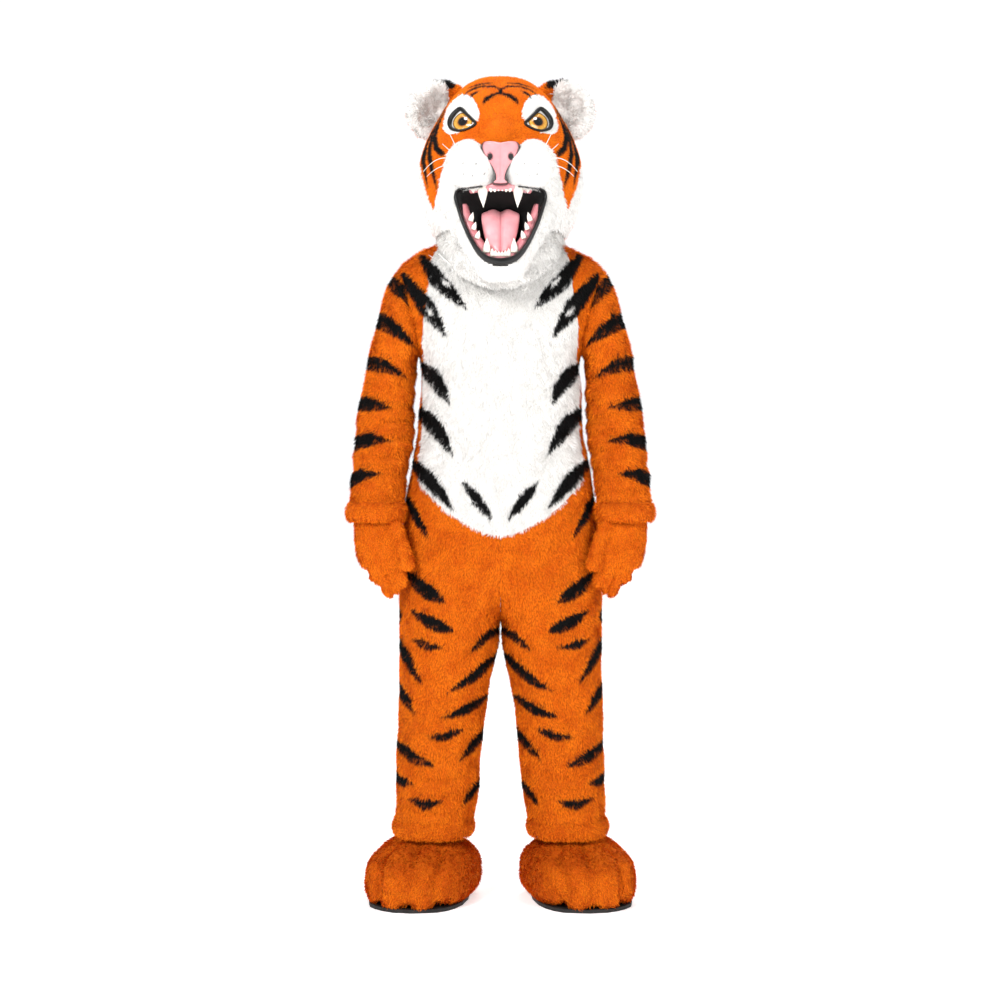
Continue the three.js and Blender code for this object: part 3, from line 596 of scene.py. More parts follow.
sleeveFolds = [
    {"side": 0, "path": [(196, 1208), (262, 1184)], "width": 12, "depth": -6, "bow": 4},
    {"side": 0, "path": [(194, 1160), (270, 1142)], "width": 10, "depth": -6, "bow": -4},
    {"side": 0, "path": [(196, 1118), (284, 1108)], "width": 10, "depth": -8, "bow": 5},
    {"side": 0, "path": [(198, 1080), (278, 1084)], "width": 9, "depth": -7, "bow": -4},
    {"side": 0, "path": [(200, 1040), (292, 1030)], "width": 10, "depth": -7, "bow": 4},
    {"side": 0, "path": [(210, 996), (286, 1004)], "width": 10, "depth": -5},
    {"side": 0, "path": [(348, 1096), (292, 1120)], "width": 12, "depth": -4},
    {"side": 0, "path": [(352, 1012), (296, 1000)], "width": 11, "depth": -5},
    {"side": 0, "path": [(354, 952), (232, 944)], "width": 9, "depth": -4, "bow": 5},
    {"side": 0, "path": [(224, 1322), (272, 1246)], "width": 18, "depth": -4},
]

# stripes of the left half, from where each begins; width is across its thickest place
bellyStripes = [
    {"path": [(180, 1490), (143, 1434), (105, 1396), (74, 1364)], "width": 33, "fat": 0.45, "lead": 0.45,
     "holes": [{"x": 124, "z": 1427, "axis": (0.66, 0.75), "long": 17, "wide": 6}]},
    {"path": [(222, 1446), (184, 1396), (150, 1348), (119, 1302)], "width": 35, "fat": 0.5, "lead": 0.5,
     "holes": [{"x": 160, "z": 1362, "axis": (0.62, 0.79), "long": 18, "wide": 6}]},
    {"path": [(188, 1252), (158, 1220), (134, 1186), (115, 1148)], "width": 31, "fat": 0.45, "lead": 0.35},
    {"path": [(196, 1146), (160, 1112), (130, 1070), (106, 1030)], "width": 33, "fat": 0.4, "lead": 0.4},
    {"path": [(206, 1026), (172, 988), (136, 946), (106, 906)], "width": 31, "fat": 0.4, "lead": 0.4},
    {"path": [(86, 974), (62, 944), (38, 912), (18, 884)], "width": 23, "fat": 0.5, "lead": 0.1},
]
legStripes = [
    {"path": [(216, 940), (188, 884), (160, 836)], "width": 18, "fat": 0.35, "lead": 0.5},
    {"path": [(216, 764), (176, 730), (132, 702)], "width": 31, "fat": 0.6, "lead": 0.25, "tail": 0.35},
    {"path": [(200, 676), (158, 652), (112, 634)], "width": 28, "fat": 0.62, "lead": 0.2, "tail": 0.3},
    {"path": [(200, 612), (164, 598), (128, 595)], "width": 17, "fat": 0.4, "lead": 0.2},
    {"path": [(236, 680), (231, 646)], "width": 14, "fat": 0.4, "lead": 0.6},
    {"path": [(236, 604), (206, 552), (178, 508)], "width": 21, "fat": 0.35, "lead": 0.7},
    {"path": [(3, 634), (36, 616), (70, 582)], "width": 19, "fat": 0.3, "lead": 0.45},
    {"path": [(8, 574), (66, 524), (124, 490)], "width": 22, "fat": 0.45, "lead": 0.5},
    {"path": [(238, 500), (214, 466), (196, 438)], "width": 23, "fat": 0.3, "lead": 0.7},
    {"path": [(38, 474), (88, 446), (134, 434)], "width": 22, "fat": 0.4, "lead": 0.5},
    {"path": [(88, 404), (130, 388), (168, 390)], "width": 17, "fat": 0.45, "lead": 0.3},
    {"path": [(36, 398), (64, 364), (96, 330)], "width": 19, "fat": 0.35, "lead": 0.6},
    {"path": [(240, 366), (196, 338), (150, 320)], "width": 25, "fat": 0.35, "lead": 0.6},
    {"path": [(242, 286), (222, 281), (200, 279)], "width": 25, "fat": 0.2, "lead": 0.9},
    {"path": [(214, 244), (172, 232), (126, 242)], "width": 20, "fat": 0.5, "lead": 0.1},
    {"path": [(50, 276), (70, 250), (90, 226)], "width": 18, "fat": 0.35, "lead": 0.6},
]
backStripes = [
    {"path": [(256, 1458), (190, 1438), (120, 1446), (62, 1432)], "width": 34, "fat": 0.5, "lead": 0.3},
    {"path": [(236, 1372), (170, 1344), (96, 1352), (34, 1330)], "width": 33, "fat": 0.4, "lead": 0.5},
    {"path": [(212, 1264), (150, 1246), (92, 1236), (40, 1242)], "width": 34, "fat": 0.4, "lead": 0.6},
    {"path": [(206, 1152), (160, 1160), (104, 1138), (46, 1146)], "width": 32, "fat": 0.4, "lead": 0.6},
    {"path": [(214, 1034), (166, 1050), (98, 1034), (38, 1050)], "width": 34, "fat": 0.4, "lead": 0.6},
    {"path": [(228, 944), (176, 952), (118, 934), (70, 944)], "width": 27, "fat": 0.4, "lead": 0.6},
    {"path": [(236, 846), (182, 858), (120, 838), (58, 852)], "width": 29, "fat": 0.45, "lead": 0.4},
    {"path": [(240, 766), (196, 758), (140, 768), (96, 752)], "width": 30, "fat": 0.5, "lead": 0.4},
    {"path": [(240, 676), (196, 676), (140, 660), (92, 668)], "width": 28, "fat": 0.45, "lead": 0.5},
    {"path": [(8, 634), (46, 606), (88, 596)], "width": 20, "fat": 0.3, "lead": 0.5},
    {"path": [(240, 602), (200, 586), (146, 592)], "width": 24, "fat": 0.4, "lead": 0.6},
    {"path": [(4, 566), (50, 536), (104, 530)], "width": 22, "fat": 0.4, "lead": 0.6},
    {"path": [(242, 502), (204, 506), (152, 484)], "width": 25, "fat": 0.4, "lead": 0.7},
    {"path": [(20, 462), (74, 446), (124, 456)], "width": 22, "fat": 0.4, "lead": 0.6},
    {"path": [(244, 366), (198, 380), (140, 366)], "width": 26, "fat": 0.4, "lead": 0.7},
    {"path": [(30, 388), (66, 366), (104, 362)], "width": 20, "fat": 0.4, "lead": 0.6},
    {"path": [(246, 286), (204, 296), (150, 280)], "width": 25, "fat": 0.4, "lead": 0.7},
    {"path": [(44, 272), (80, 258), (116, 262)], "width": 18, "fat": 0.4, "lead": 0.6},
    {"path": [(242, 214), (196, 220), (138, 208)], "width": 20, "fat": 0.45, "lead": 0.4},
]
sleeveStripes = [
    {"path": [(256, 1450), (230, 1412), (204, 1370)], "width": 27, "fat": 0.3, "lead": 0.6},
    {"path": [(300, 1362), (246, 1328), (194, 1284)], "width": 35, "fat": 0.18, "lead": 0.9},
    {"path": [(322, 1256), (268, 1240), (214, 1214)], "width": 31, "fat": 0.25, "lead": 0.85},
    {"path": [(338, 1158), (294, 1152), (250, 1144)], "width": 30, "fat": 0.25, "lead": 0.85},
    {"path": [(352, 1058), (300, 1072), (246, 1066)], "width": 31, "fat": 0.3, "lead": 0.85},
    {"path": [(360, 970), (316, 988), (268, 992)], "width": 29, "fat": 0.3, "lead": 0.85},
]
sleeveBackStripes = [
    {"path": [(262, 1436), (226, 1420), (190, 1428)], "width": 26, "fat": 0.4, "lead": 0.6},
    {"path": [(304, 1358), (252, 1350), (200, 1330)], "width": 33, "fat": 0.35, "lead": 0.8},
    {"path": [(324, 1254), (270, 1262), (214, 1248)], "width": 31, "fat": 0.35, "lead": 0.8},
    {"path": [(340, 1156), (284, 1166), (226, 1150)], "width": 30, "fat": 0.35, "lead": 0.8},
    {"path": [(354, 1056), (296, 1052), (236, 1064)], "width": 30, "fat": 0.35, "lead": 0.8},
    {"path": [(362, 970), (306, 962), (250, 976)], "width": 27, "fat": 0.35, "lead": 0.8},
]


def stripePaint(front, back, ragged=1.6):
    front, back = front + mirroredStrokes(front), back + mirroredStrokes(back)

    def paint(points):
        depth = np.where(points[:, 1] < 0, strokeAmount(points[:, 0], points[:, 2], front),
                         strokeAmount(points[:, 0], points[:, 2], back))
        depth += ragged * waves(points, 8, 21, 2)
        return np.clip(depth / 2 + 0.5, 0, 1)
    return paint


broader = 1.1  # the front marks, drawn a little wider than their tables
for stroke in bellyStripes + sleeveStripes + legStripes:
    stroke["width"] *= broader
paintBody = stripePaint(bellyStripes + legStripes, backStripes)
paintSleeve = stripePaint(sleeveStripes, sleeveBackStripes)


# body panels

def steps(low, high, size):
    return np.linspace(low, high, max(2, int(round((high - low) / size)) + 1))


def combedDown(outward=0.12, forward=0.0):
    def lay(roots):
        way = np.zeros_like(roots)
        way[:, 0] = np.sign(roots[:, 0]) * outward
        way[:, 1] = forward
        way[:, 2] = -1.0
        return way
    return lay


def declareCloth(grid, closed=False):
    # repeats a closed grid's first column at its end; nothing is measured, kept or returned
    if closed:
        grid = np.concatenate([grid, grid[:, :1]], 1)


def coverPanel(name, points, faces, grid, tone, node, paint, lay, seed, closed=False, look=suit):
    material = {"orange": orangePlush, "white": whitePlush}[tone]
    cloth = clothOf(name, points, faces, material, node, suit["wall"], paint)
    pile = growPlush(name + "_pile", points, faces, material, look, lay, paint, seed=seed)
    declareCloth(grid, closed=closed)
    return cloth


lowRows = steps(168, seamPlaces["crotch"], suit["cell"])
hipRows = steps(seamPlaces["crotch"], seamPlaces["belly"], suit["cell"])[1:]
bellyStart = seamPlaces["belly"] + np.array([0.4, 1.5, 4, 7.5, 12, 19, 28, 40, 53])
sideRows = steps(912, seamPlaces["armpit"], suit["cell"])
chestRows = steps(seamPlaces["armpit"], seamPlaces["shoulder"], 10)[1:]
neckRows = steps(seamPlaces["shoulder"], 1542, 8)[1:]
frontHeights = np.concatenate([lowRows, hipRows, bellyStart, sideRows, chestRows, neckRows])
bellyHeights = np.concatenate([[847.02], bellyStart, sideRows, chestRows, neckRows])
armRows = (frontHeights >= seamPlaces["armpit"] - 0.1) & (frontHeights <= seamPlaces["shoulder"] + 0.1)
armLoops = {}

for side, tag in ((1, "l"), (-1, "r")):
    loop = []
    for back, name, seed in ((False, "front_" + tag, 31), (True, "back_" + tag, 41)):
        count = 34 if back else 27
        points, faces = bodyPanel(back, frontHeights, count, lambda z, b=back: innerEdge(z, b), outerEdge)
        if side < 0:
            points = mirrorX(points)
        if (side > 0) == back:
            faces = faces[:, ::-1]
        drawn = points.copy()
        points = shapeCloth(points, faces, bodyFolds, 1 if back else -1)
        grid = points.reshape(len(frontHeights), count, 3)
        closed = (frontHeights >= seamPlaces["crotch"] - 0.1) & (frontHeights < seamPlaces["belly"])
        for row in np.flatnonzero(closed):
            # the two halves stay sewn together down the middle
            grid[row, 0, 0] = drawn.reshape(grid.shape)[row, 0, 0]
            grid[row, 1, 0] = (grid[row, 0, 0] + grid[row, 2, 0]) / 2
        loop.append(grid[armRows, -1])
        coverPanel(name, points, faces, grid, "orange", name, paintBody, combedDown(), seed + side)
    armLoops[tag] = loop
    print("made the panels of side", tag)

halfCount = 21
halfRows = [sectionPoints(z, 0.0, float(bellyHalf(z)), False, halfCount) for z in bellyHeights]
bellyGrid = np.stack([np.concatenate([mirrorX(row[::-1]), row[1:]]) for row in halfRows])
bellyPoints = bellyGrid.reshape(-1, 3)
bellyFaces = gridFaces(*bellyGrid.shape[:2])
bellyPoints = shapeCloth(bellyPoints, bellyFaces, bodyFolds, -1)
coverPanel("belly_panel", bellyPoints, bellyFaces, bellyPoints.reshape(bellyGrid.shape), "white",
           "belly_panel", paintBody, combedDown(0.05), 51)
showTime("body panels made")

# sleeves, cuffs and hems

# rings down the arm: centre, half widths, and the way the wide axis leans
sleeveRings = [
    {"x": 228.5, "y": 0, "z": 1347, "across": 88, "deep": 92, "lean": 67},
    {"x": 247, "y": -2, "z": 1275, "across": 63, "deep": 80, "lean": 37},
    {"x": 258, "y": -4, "z": 1205, "across": 61, "deep": 73, "lean": 10},
    {"x": 266, "y": -9, "z": 1135, "across": 67, "deep": 71, "lean": 4},
    {"x": 271, "y": -19, "z": 1070, "across": 69, "deep": 71, "lean": 3},
    {"x": 278, "y": -33, "z": 1012, "across": 67, "deep": 69, "lean": 2},
    {"x": 284, "y": -50, "z": 948, "across": 65, "deep": 67, "lean": 0},
    {"x": 286, "y": -57, "z": 916, "across": 64, "deep": 66, "lean": 0},
]
ringSides = 44


def ringPoints(ring, sides=ringSides):
    # from the lowest inner point, round the front to the top, and back behind
    turn = math.pi - np.arange(sides) / sides * 2 * math.pi
    lean = math.radians(ring["lean"])
    across = ring["across"] * np.cos(turn)
    return np.stack([ring["x"] + across * math.cos(lean), ring["y"] - ring["deep"] * np.sin(turn),
                     ring["z"] + across * math.sin(lean)], 1)


def resample(line, count):
    length = np.concatenate([[0], np.cumsum(np.linalg.norm(np.diff(line, axis=0), axis=1))])
    even = np.linspace(0, length[-1], count)
    return np.stack([np.interp(even, length, line[:, axis]) for axis in range(3)], 1)


def throughRings(rings, gap):
    # smooth skin through closed rings, about one row each `gap` mm
    rings = [np.asarray(ring) for ring in rings]
    rows = []
    for place in range(len(rings) - 1):
        before = rings[max(place - 1, 0)]
        start, end = rings[place], rings[place + 1]
        after = rings[min(place + 2, len(rings) - 1)]
        span = np.linalg.norm(end - start, axis=1).mean()
        left = max(np.linalg.norm(start - before, axis=1).mean(), 1e-6)
        right = max(np.linalg.norm(after - end, axis=1).mean(), 1e-6)
        slopeStart = (end - before) * span / (span + left) if place else end - start
        slopeEnd = (after - start) * span / (span + right) if place < len(rings) - 2 else end - start
        for t in np.linspace(0, 1, max(2, int(span / gap)) + 1)[:-1]:
            rows.append((1 + 2 * t) * (1 - t) ** 2 * start + t * (1 - t) ** 2 * slopeStart
                        + t * t * (3 - 2 * t) * end + t * t * (t - 1) * slopeEnd)
    rows.append(rings[-1])
    return np.stack(rows)


def tubeFaces(rows, columns, flip):
    faces = gridFaces(rows, columns, closed=True)
    return faces[:, ::-1] if flip else faces


def makeBand(name, rings, tone, seed, flip, lay, paint=None, look=suit, gap=7.0):
    grid = throughRings(rings, gap)
    points = grid.reshape(-1, 3)
    faces = tubeFaces(grid.shape[0], grid.shape[1], flip)
    return coverPanel(name, points, faces, grid, tone, name, paint, lay, seed, closed=True, look=look)


def plainRing(x, y, z, across, deep, sides=ringSides, sign=1, lean=0.0):
    turn = np.arange(sides) / sides * 2 * math.pi
    cos, sin = np.cos(turn), np.sin(turn)
    return np.stack([sign * (x + across * power(cos, 2.3)), y + deep * power(sin, 2.3),
                     z + lean * np.cos(turn)], 1)


cuffs = {"x": 286, "y": -57, "top": 922, "bottom": 880, "across": 64, "deep": 66, "bulge": 6}
hems = {"top": 184, "bottom": 147, "bulge": 4}
bandLook = dict(suit, pile=9.0, rise=0.5)

for side, tag in ((1, "l"), (-1, "r")):
    flip = side < 0
    front, back = armLoops[tag]
    half = ringSides // 2 + 1
    loop = np.concatenate([resample(front, half)[:-1], resample(back[::-1], half)[:-1]])
    if side < 0:
        loop = mirrorX(loop)
    grid = throughRings([loop] + [ringPoints(ring) for ring in sleeveRings], suit["cell"])
    if side < 0:
        grid = grid * np.array([-1.0, 1.0, 1.0])
    points = grid.reshape(-1, 3)
    faces = tubeFaces(grid.shape[0], grid.shape[1], not flip)
    folded = points * np.array([side, 1, 1])
    folded[:, 2] += 0 if side > 0 else 9  # the right arm creases a little lower
    normals = normalsOf(points, faces)
    fade = np.clip((np.arange(grid.shape[0]) - 1) / 4, 0, 1).repeat(ringSides)
    points = points + normals * ((foldDepth(folded, sleeveFolds, 0) + 2 * waves(points, 120, 9, 2)
                                  - suit["inset"]) * fade)[:, None]
    coverPanel("sleeve_" + tag, points, faces, points.reshape(grid.shape), "orange", "sleeve_" + tag,
               paintSleeve, combedDown(0.1), 61 + side, closed=True)
    wide, deep, x, y = cuffs["across"], cuffs["deep"], cuffs["x"], cuffs["y"]
    top, bottom, bulge = cuffs["top"], cuffs["bottom"], cuffs["bulge"]
    rings = [plainRing(x, y, top, wide - 3, deep - 3, sign=side),
             plainRing(x, y - 1, top - 6, wide + 2, deep + 2, sign=side),
             plainRing(x + 0.5, y - 2, (top + bottom) / 2, wide + bulge, deep + bulge, sign=side),
             plainRing(x + 1, y - 4, bottom + 5, wide + 3, deep + 3, sign=side),
             plainRing(x + 1, y - 4, bottom, wide - 3, deep - 3, sign=side),
             plainRing(x + 1, y - 4, bottom + 7, wide - 8, deep - 8, sign=side)]
    makeBand("cuff_" + tag, rings, "orange", 71 + side, not flip, combedDown(0.2), look=bandLook)
    legX, legHalf = float(column(bodyRows, "x", 168)), float(column(bodyRows, "half", 168))
    rings = [plainRing(legX - 1, 0, hems["top"], legHalf - 2, 101, sign=side),
             plainRing(legX, 0, hems["top"] - 6, legHalf + 1, 104, sign=side),
             plainRing(legX, 0, (hems["top"] + hems["bottom"]) / 2, legHalf + hems["bulge"], 107, sign=side),
             plainRing(legX, -1, hems["bottom"] + 5, legHalf + 1, 104, sign=side),
             plainRing(legX, -1, hems["bottom"], legHalf - 4, 99, sign=side),
             plainRing(legX, -1, hems["bottom"] + 8, legHalf - 9, 94, sign=side)]
    makeBand("hem_" + tag, rings, "orange", 81 + side, not flip, combedDown(0.2), paintBody, look=bandLook)
showTime("sleeves, cuffs and hems made")

# boots

boots = {
    "x": 172.0,
    "y": 2.0,
    "turn": 0.24,  # toes point outwards
    "grooves": [{"at": -0.62, "deep": 13}, {"at": -0.06, "deep": 15}, {"at": 0.52, "deep": 13}],
    "grooveWidth": 0.085,
    "sides": 84,
}
bootRows = [
    {"z": 8.5, "half": 104, "front": 195, "back": 108},
    {"z": 20, "half": 114, "front": 205, "back": 114},
    {"z": 36, "half": 119, "front": 209, "back": 117},
    {"z": 62, "half": 120, "front": 209, "back": 119},
    {"z": 88, "half": 117, "front": 197, "back": 115},
    {"z": 108, "half": 107, "front": 172, "back": 105},
    {"z": 123, "half": 92, "front": 136, "back": 94},
    {"z": 137, "half": 68, "front": 86, "back": 74},
    {"z": 152, "half": 60, "front": 68, "back": 64},
    {"z": 176, "half": 58, "front": 66, "back": 62},
]
bootLook = dict(suit, pile=9.5, rise=0.4, perSquareMetre=165000)


def bootSkin(side):
    heights = np.concatenate([steps(8.5, 125, 7), steps(132, 176, 8)])
    turn = np.arange(boots["sides"]) / boots["sides"] * 2 * math.pi
    rows = []
    for z in heights:
        half = float(column(bootRows, "half", z))
        front, back = float(column(bootRows, "front", z)), float(column(bootRows, "back", z))
        cos, sin = power(np.cos(turn), 2.5), power(np.sin(turn), 2.5)
        x = half * cos
        y = np.where(sin < 0, front * sin, back * sin)
        x = x * (1 + 0.07 * np.clip(-y / 200, 0, 1))
        rows.append(np.stack([x, y, np.full(len(x), z)], 1))
    grid = np.stack(rows)
    points = grid.reshape(-1, 3)
    faces = tubeFaces(len(heights), boots["sides"], False)
    normals = normalsOf(points, faces)
    ahead = np.clip((-points[:, 1] - 62) / 60, 0, 1)
    groove = np.zeros(len(points))
    for line in boots["grooves"]:
        # each toe line runs from the sole up over the toes and fades towards the ankle
        spread = points[:, 0] - line["at"] * 120 * (0.62 + 0.38 * ahead)
        groove += line["deep"] * np.exp(-(spread / (boots["grooveWidth"] * 120)) ** 2) * ahead
    swell = 4 * waves(points, 90, 5, 2) * 0.5
    points = points + normals * (swell - groove)[:, None]
    cos, sin = math.cos(boots["turn"]), math.sin(boots["turn"])
    placed = points.copy()
    placed[:, 0] = boots["x"] + points[:, 0] * cos - points[:, 1] * sin
    placed[:, 1] = boots["y"] + points[:, 0] * sin + points[:, 1] * cos
    placed[:, 0] *= side
    return placed.reshape(grid.shape)


def combedOverToes(side):
    def lay(roots):
        way = np.zeros_like(roots)
        way[:, 0] = side * 0.35
        way[:, 1] = -1.0
        way[:, 2] = -0.75
        return way
    return lay


for side, tag in ((1, "l"), (-1, "r")):
    grid = bootSkin(side)
    points = grid.reshape(-1, 3)
    faces = tubeFaces(grid.shape[0], grid.shape[1], side < 0)
    cloth = clothOf("boot_upper_" + tag, points, faces, orangePlush, "boot_upper_" + tag, 5.0)
    pile = growPlush("boot_upper_" + tag + "_pile", points, faces, orangePlush, bootLook,
                     combedOverToes(side), seed=91 + side, keep=lambda roots: roots[:, 2] < 168)
showTime("boots made")

# head: one skin, then its panels by outline

head = {
    "power": 2.2,
    "cell": 5.0,
    "seamBack": 25.0,  # mm, the ruff ends and the back of the head begins here
    "muzzle": {"x": 60, "y": -214, "z": 1676, "wide": 62, "deep": 60, "high": 57},
    "bridge": {"z": 1752, "wide": 50, "high": 40},
    "nosePoint": (0.0, -270.0, 1715.0),
}
headRows = [
    {"z": 1538, "half": 148, "front": 168, "back": 138},
    {"z": 1566, "half": 165, "front": 200, "back": 158},
    {"z": 1606, "half": 182, "front": 219, "back": 176},
    {"z": 1665, "half": 192, "front": 225, "back": 187},
    {"z": 1712, "half": 188, "front": 223, "back": 189},
    {"z": 1763, "half": 172, "front": 212, "back": 184},
    {"z": 1805, "half": 150, "front": 197, "back": 172},
    {"z": 1850, "half": 122, "front": 170, "back": 150},
    {"z": 1876, "half": 99, "front": 136, "back": 123},
    {"z": 1895, "half": 76, "front": 104, "back": 93},
    {"z": 1906, "half": 48, "front": 66, "back": 56},
    {"z": 1910, "half": 20, "front": 26, "back": 18},
]
jawRows = [
    {"z": 1418, "half": 24, "front": 212, "back": -188, "y": -200},
    {"z": 1424, "half": 42, "front": 221, "back": -180, "y": -198},
    {"z": 1442, "half": 58, "front": 228, "back": -175, "y": -196},
    {"z": 1475, "half": 75, "front": 232, "back": -172, "y": -192},
    {"z": 1515, "half": 99, "front": 234, "back": -168, "y": -180},
    {"z": 1560, "half": 124, "front": 231, "back": -120, "y": -150},
    {"z": 1610, "half": 128, "front": 222, "back": -60, "y": -120},
]
bridgeRows = [
    {"z": 1700, "half": 44, "front": 256, "y": -150},
    {"z": 1727, "half": 49, "front": 254, "y": -150},
    {"z": 1755, "half": 49, "front": 240, "y": -150},
    {"z": 1780, "half": 34, "front": 214, "y": -150},
    {"z": 1796, "half": 10, "front": 198, "y": -150},
]
maskEdge = [(0, 1960), (230, 1960), (230, 1816), (188, 1788), (186, 1707), (175, 1649), (153, 1589),
            (141, 1630), (128, 1679), (119, 1709), (100, 1726), (80, 1732), (58, 1727), (44, 1712),
            (40, 1700), (0, 1700)]
mouthEdge = [(0, 1628), (30, 1622), (60, 1619), (101, 1621), (97, 1596), (84, 1545), (56, 1486), (33, 1458),
             (0, 1447)]
patchEdge = [(101, 1847), (80, 1848), (62, 1832), (50, 1808), (47, 1790), (57, 1772), (86, 1755), (104, 1751),
             (120, 1755), (129, 1772), (127, 1800), (120, 1827)]
eyeEdge = [(90, 1808), (101, 1801), (110, 1787), (110, 1771), (98, 1761), (82, 1760), (67, 1765), (58, 1772),
           (67, 1783), (79, 1796)]


def ringOf(row, power2, sides, yMiddle=0.0):
    turn = np.arange(sides) / sides * 2 * math.pi
    cos, sin = power(np.cos(turn), power2), power(np.sin(turn), power2)
    middle = row.get("y", yMiddle)
    back = row["back"] if "back" in row else middle + 40
    y = np.where(sin < 0, middle + (middle + row["front"]) * sin, middle + (back - middle) * sin)
    return np.stack([row["half"] * cos, y, np.full(sides, float(row["z"]))], 1)


def loftClosed(rows, gap, power2, sides=72):
    heights = steps(rows[0]["z"], rows[-1]["z"], gap)
    keys = [key for key in rows[0] if key != "z"]
    rings = []
    for z in heights:
        row = {key: float(column(rows, key, z)) for key in keys}
        row["z"] = z
        rings.append(ringOf(row, power2, sides))
    points = np.concatenate(rings + [rings[0].mean(0, keepdims=True), rings[-1].mean(0, keepdims=True)])
    walls = [tuple(face) for face in gridFaces(len(rings), sides, closed=True)]
    low, high, last = len(points) - 2, len(points) - 1, (len(rings) - 1) * sides
    for k in range(sides):
        nextOne = (k + 1) % sides
        walls.append((low, nextOne, k))
        walls.append((high, last + k, last + nextOne))
    return points, walls


def ballMesh(centre, radii, rows=24, sides=36):
    turn = np.arange(sides) / sides * 2 * math.pi
    rings = []
    for rise in np.linspace(-math.pi / 2, math.pi / 2, rows + 2)[1:-1]:
        flat = math.cos(rise)
        rings.append(np.stack([centre[0] + radii[0] * flat * np.cos(turn),
                               centre[1] + radii[1] * flat * np.sin(turn),
                               np.full(sides, centre[2] + radii[2] * math.sin(rise))], 1))
    poles = np.array([[centre[0], centre[1], centre[2] - radii[2]],
                      [centre[0], centre[1], centre[2] + radii[2]]])
    points = np.concatenate(rings + [poles])
    walls = [tuple(face) for face in gridFaces(rows, sides, closed=True)]
    low, high, last = len(points) - 2, len(points) - 1, (rows - 1) * sides
    for k in range(sides):
        nextOne = (k + 1) % sides
        walls.append((low, nextOne, k))
        walls.append((high, last + k, last + nextOne))
    return points, walls


def fuse(parts, cell, smoothing=6):
    # joins closed forms into one even skin of squares, in mm
    offset, points, walls = 0, [], []
    for partPoints, partWalls in parts:
        points.append(partPoints)
        walls += [tuple(int(v) + offset for v in face) for face in partWalls]
        offset += len(partPoints)
    mesh = bpy.data.meshes.new("fusing")
    mesh.from_pydata((np.concatenate(points) * mm).tolist(), [], walls)
    holder = bpy.data.objects.new("fusing", mesh)
    bpy.context.collection.objects.link(holder)
    remesh = holder.modifiers.new("even", "REMESH")
    remesh.mode = "VOXEL"
    remesh.voxel_size = cell * mm
    smooth = holder.modifiers.new("soft", "SMOOTH")
    smooth.iterations = smoothing
    smooth.factor = 0.5
    ready = holder.evaluated_get(bpy.context.evaluated_depsgraph_get()).to_mesh()
    count = len(ready.vertices)
    found = np.empty(count * 3, np.float32)
    ready.vertices.foreach_get("co", found)
    squares = np.array([tuple(face.vertices) for face in ready.polygons if len(face.vertices) == 4], np.int64)
    holder.to_mesh_clear()
    bpy.data.objects.remove(holder)
    bpy.data.meshes.remove(mesh)
    return found.reshape(-1, 3).astype(float) / mm, squares


def softOutline(corners, count=10):
    # a rounded line through the corners of an outline
    corners = np.array(corners, float)
    before, after = np.roll(corners, 1, 0), np.roll(corners, -1, 0)
    last = np.roll(corners, -2, 0)
    t = np.linspace(0, 1, count, endpoint=False)[:, None, None]
    line = 0.5 * ((2 * corners) + (after - before) * t
                  + (2 * before - 5 * corners + 4 * after - last) * t ** 2
                  + (3 * corners - before - 3 * after + last) * t ** 3)
    return line.transpose(1, 0, 2).reshape(-1, 2)


def mirroredOutline(corners):
    # both halves of an outline that starts and ends on the middle line
    return np.array(corners, float).tolist() + [(-x, z) for x, z in corners[::-1] if x > 0.5]


def insideOutline(across, up, outline):
    inside = np.zeros(len(across), bool)
    x0, z0 = outline[-1]
    for x1, z1 in outline:
        crosses = (z0 > up) != (z1 > up)
        with np.errstate(divide="ignore", invalid="ignore"):
            at = (x1 - x0) * (up - z0) / (z1 - z0) + x0
        inside ^= crosses & (across < at)
        x0, z0 = x1, z1
    return inside


def part(points, faces, chosen):
    # the chosen faces and only the points they use
    used, places = np.unique(faces[chosen], return_inverse=True)
    return points[used], places.reshape(-1, faces.shape[1])


muzzle = head["muzzle"]
headForms = [loftClosed(headRows, 8, head["power"]), loftClosed(jawRows, 8, 2.3),
             loftClosed(bridgeRows, 6, 2.0)]
for side in (1, -1):
    headForms.append(ballMesh((side * muzzle["x"], muzzle["y"], muzzle["z"]),
                              (muzzle["wide"], muzzle["deep"], muzzle["high"])))
headSkin, headFaces = fuse(headForms, head["cell"], 7)
if (normalsOf(headSkin, headFaces)[:, 2] * (headSkin[:, 2] - 1700)).sum() < 0:
    headFaces = headFaces[:, ::-1]


def press(points, centre, radii, depth):
    # a soft hollow (depth above 0) or swelling, pushed along y
    across = (np.abs(points[:, 0]) - centre[0]) / radii[0]
    up = (points[:, 2] - centre[1]) / radii[1]
    ahead = points[:, 1] < 0
    points[:, 1] += depth * np.exp(-(across ** 2 + up ** 2)) * ahead


press(headSkin, (86, 1781), (36, 30), 10)  # eye hollows
press(headSkin, (62, 1834), (34, 18), -6)  # brows
press(headSkin, (132, 1716), (30, 34), -5)  # cheeks
press(headSkin, (0, 1826), (16, 26), 4)
maskLine = np.array(mirroredOutline(maskEdge))
mouthLine = softOutline(mirroredOutline(mouthEdge))
patchLine = softOutline(patchEdge)
eyeLine = softOutline(eyeEdge)
centres = headSkin[headFaces].mean(1)
facing = unit(np.cross(headSkin[headFaces[:, 2]] - headSkin[headFaces[:, 0]],
                       headSkin[headFaces[:, 3]] - headSkin[headFaces[:, 1]]))
wholeFaces = headFaces
holes = insideOutline(centres[:, 0], centres[:, 2], mouthLine) & (centres[:, 1] < -100)
holes |= (facing[:, 2] < -0.6) & (centres[:, 2] < 1546) & (centres[:, 2] > 1520) & (centres[:, 1] > -163)
headFaces, centres = headFaces[~holes], centres[~holes]


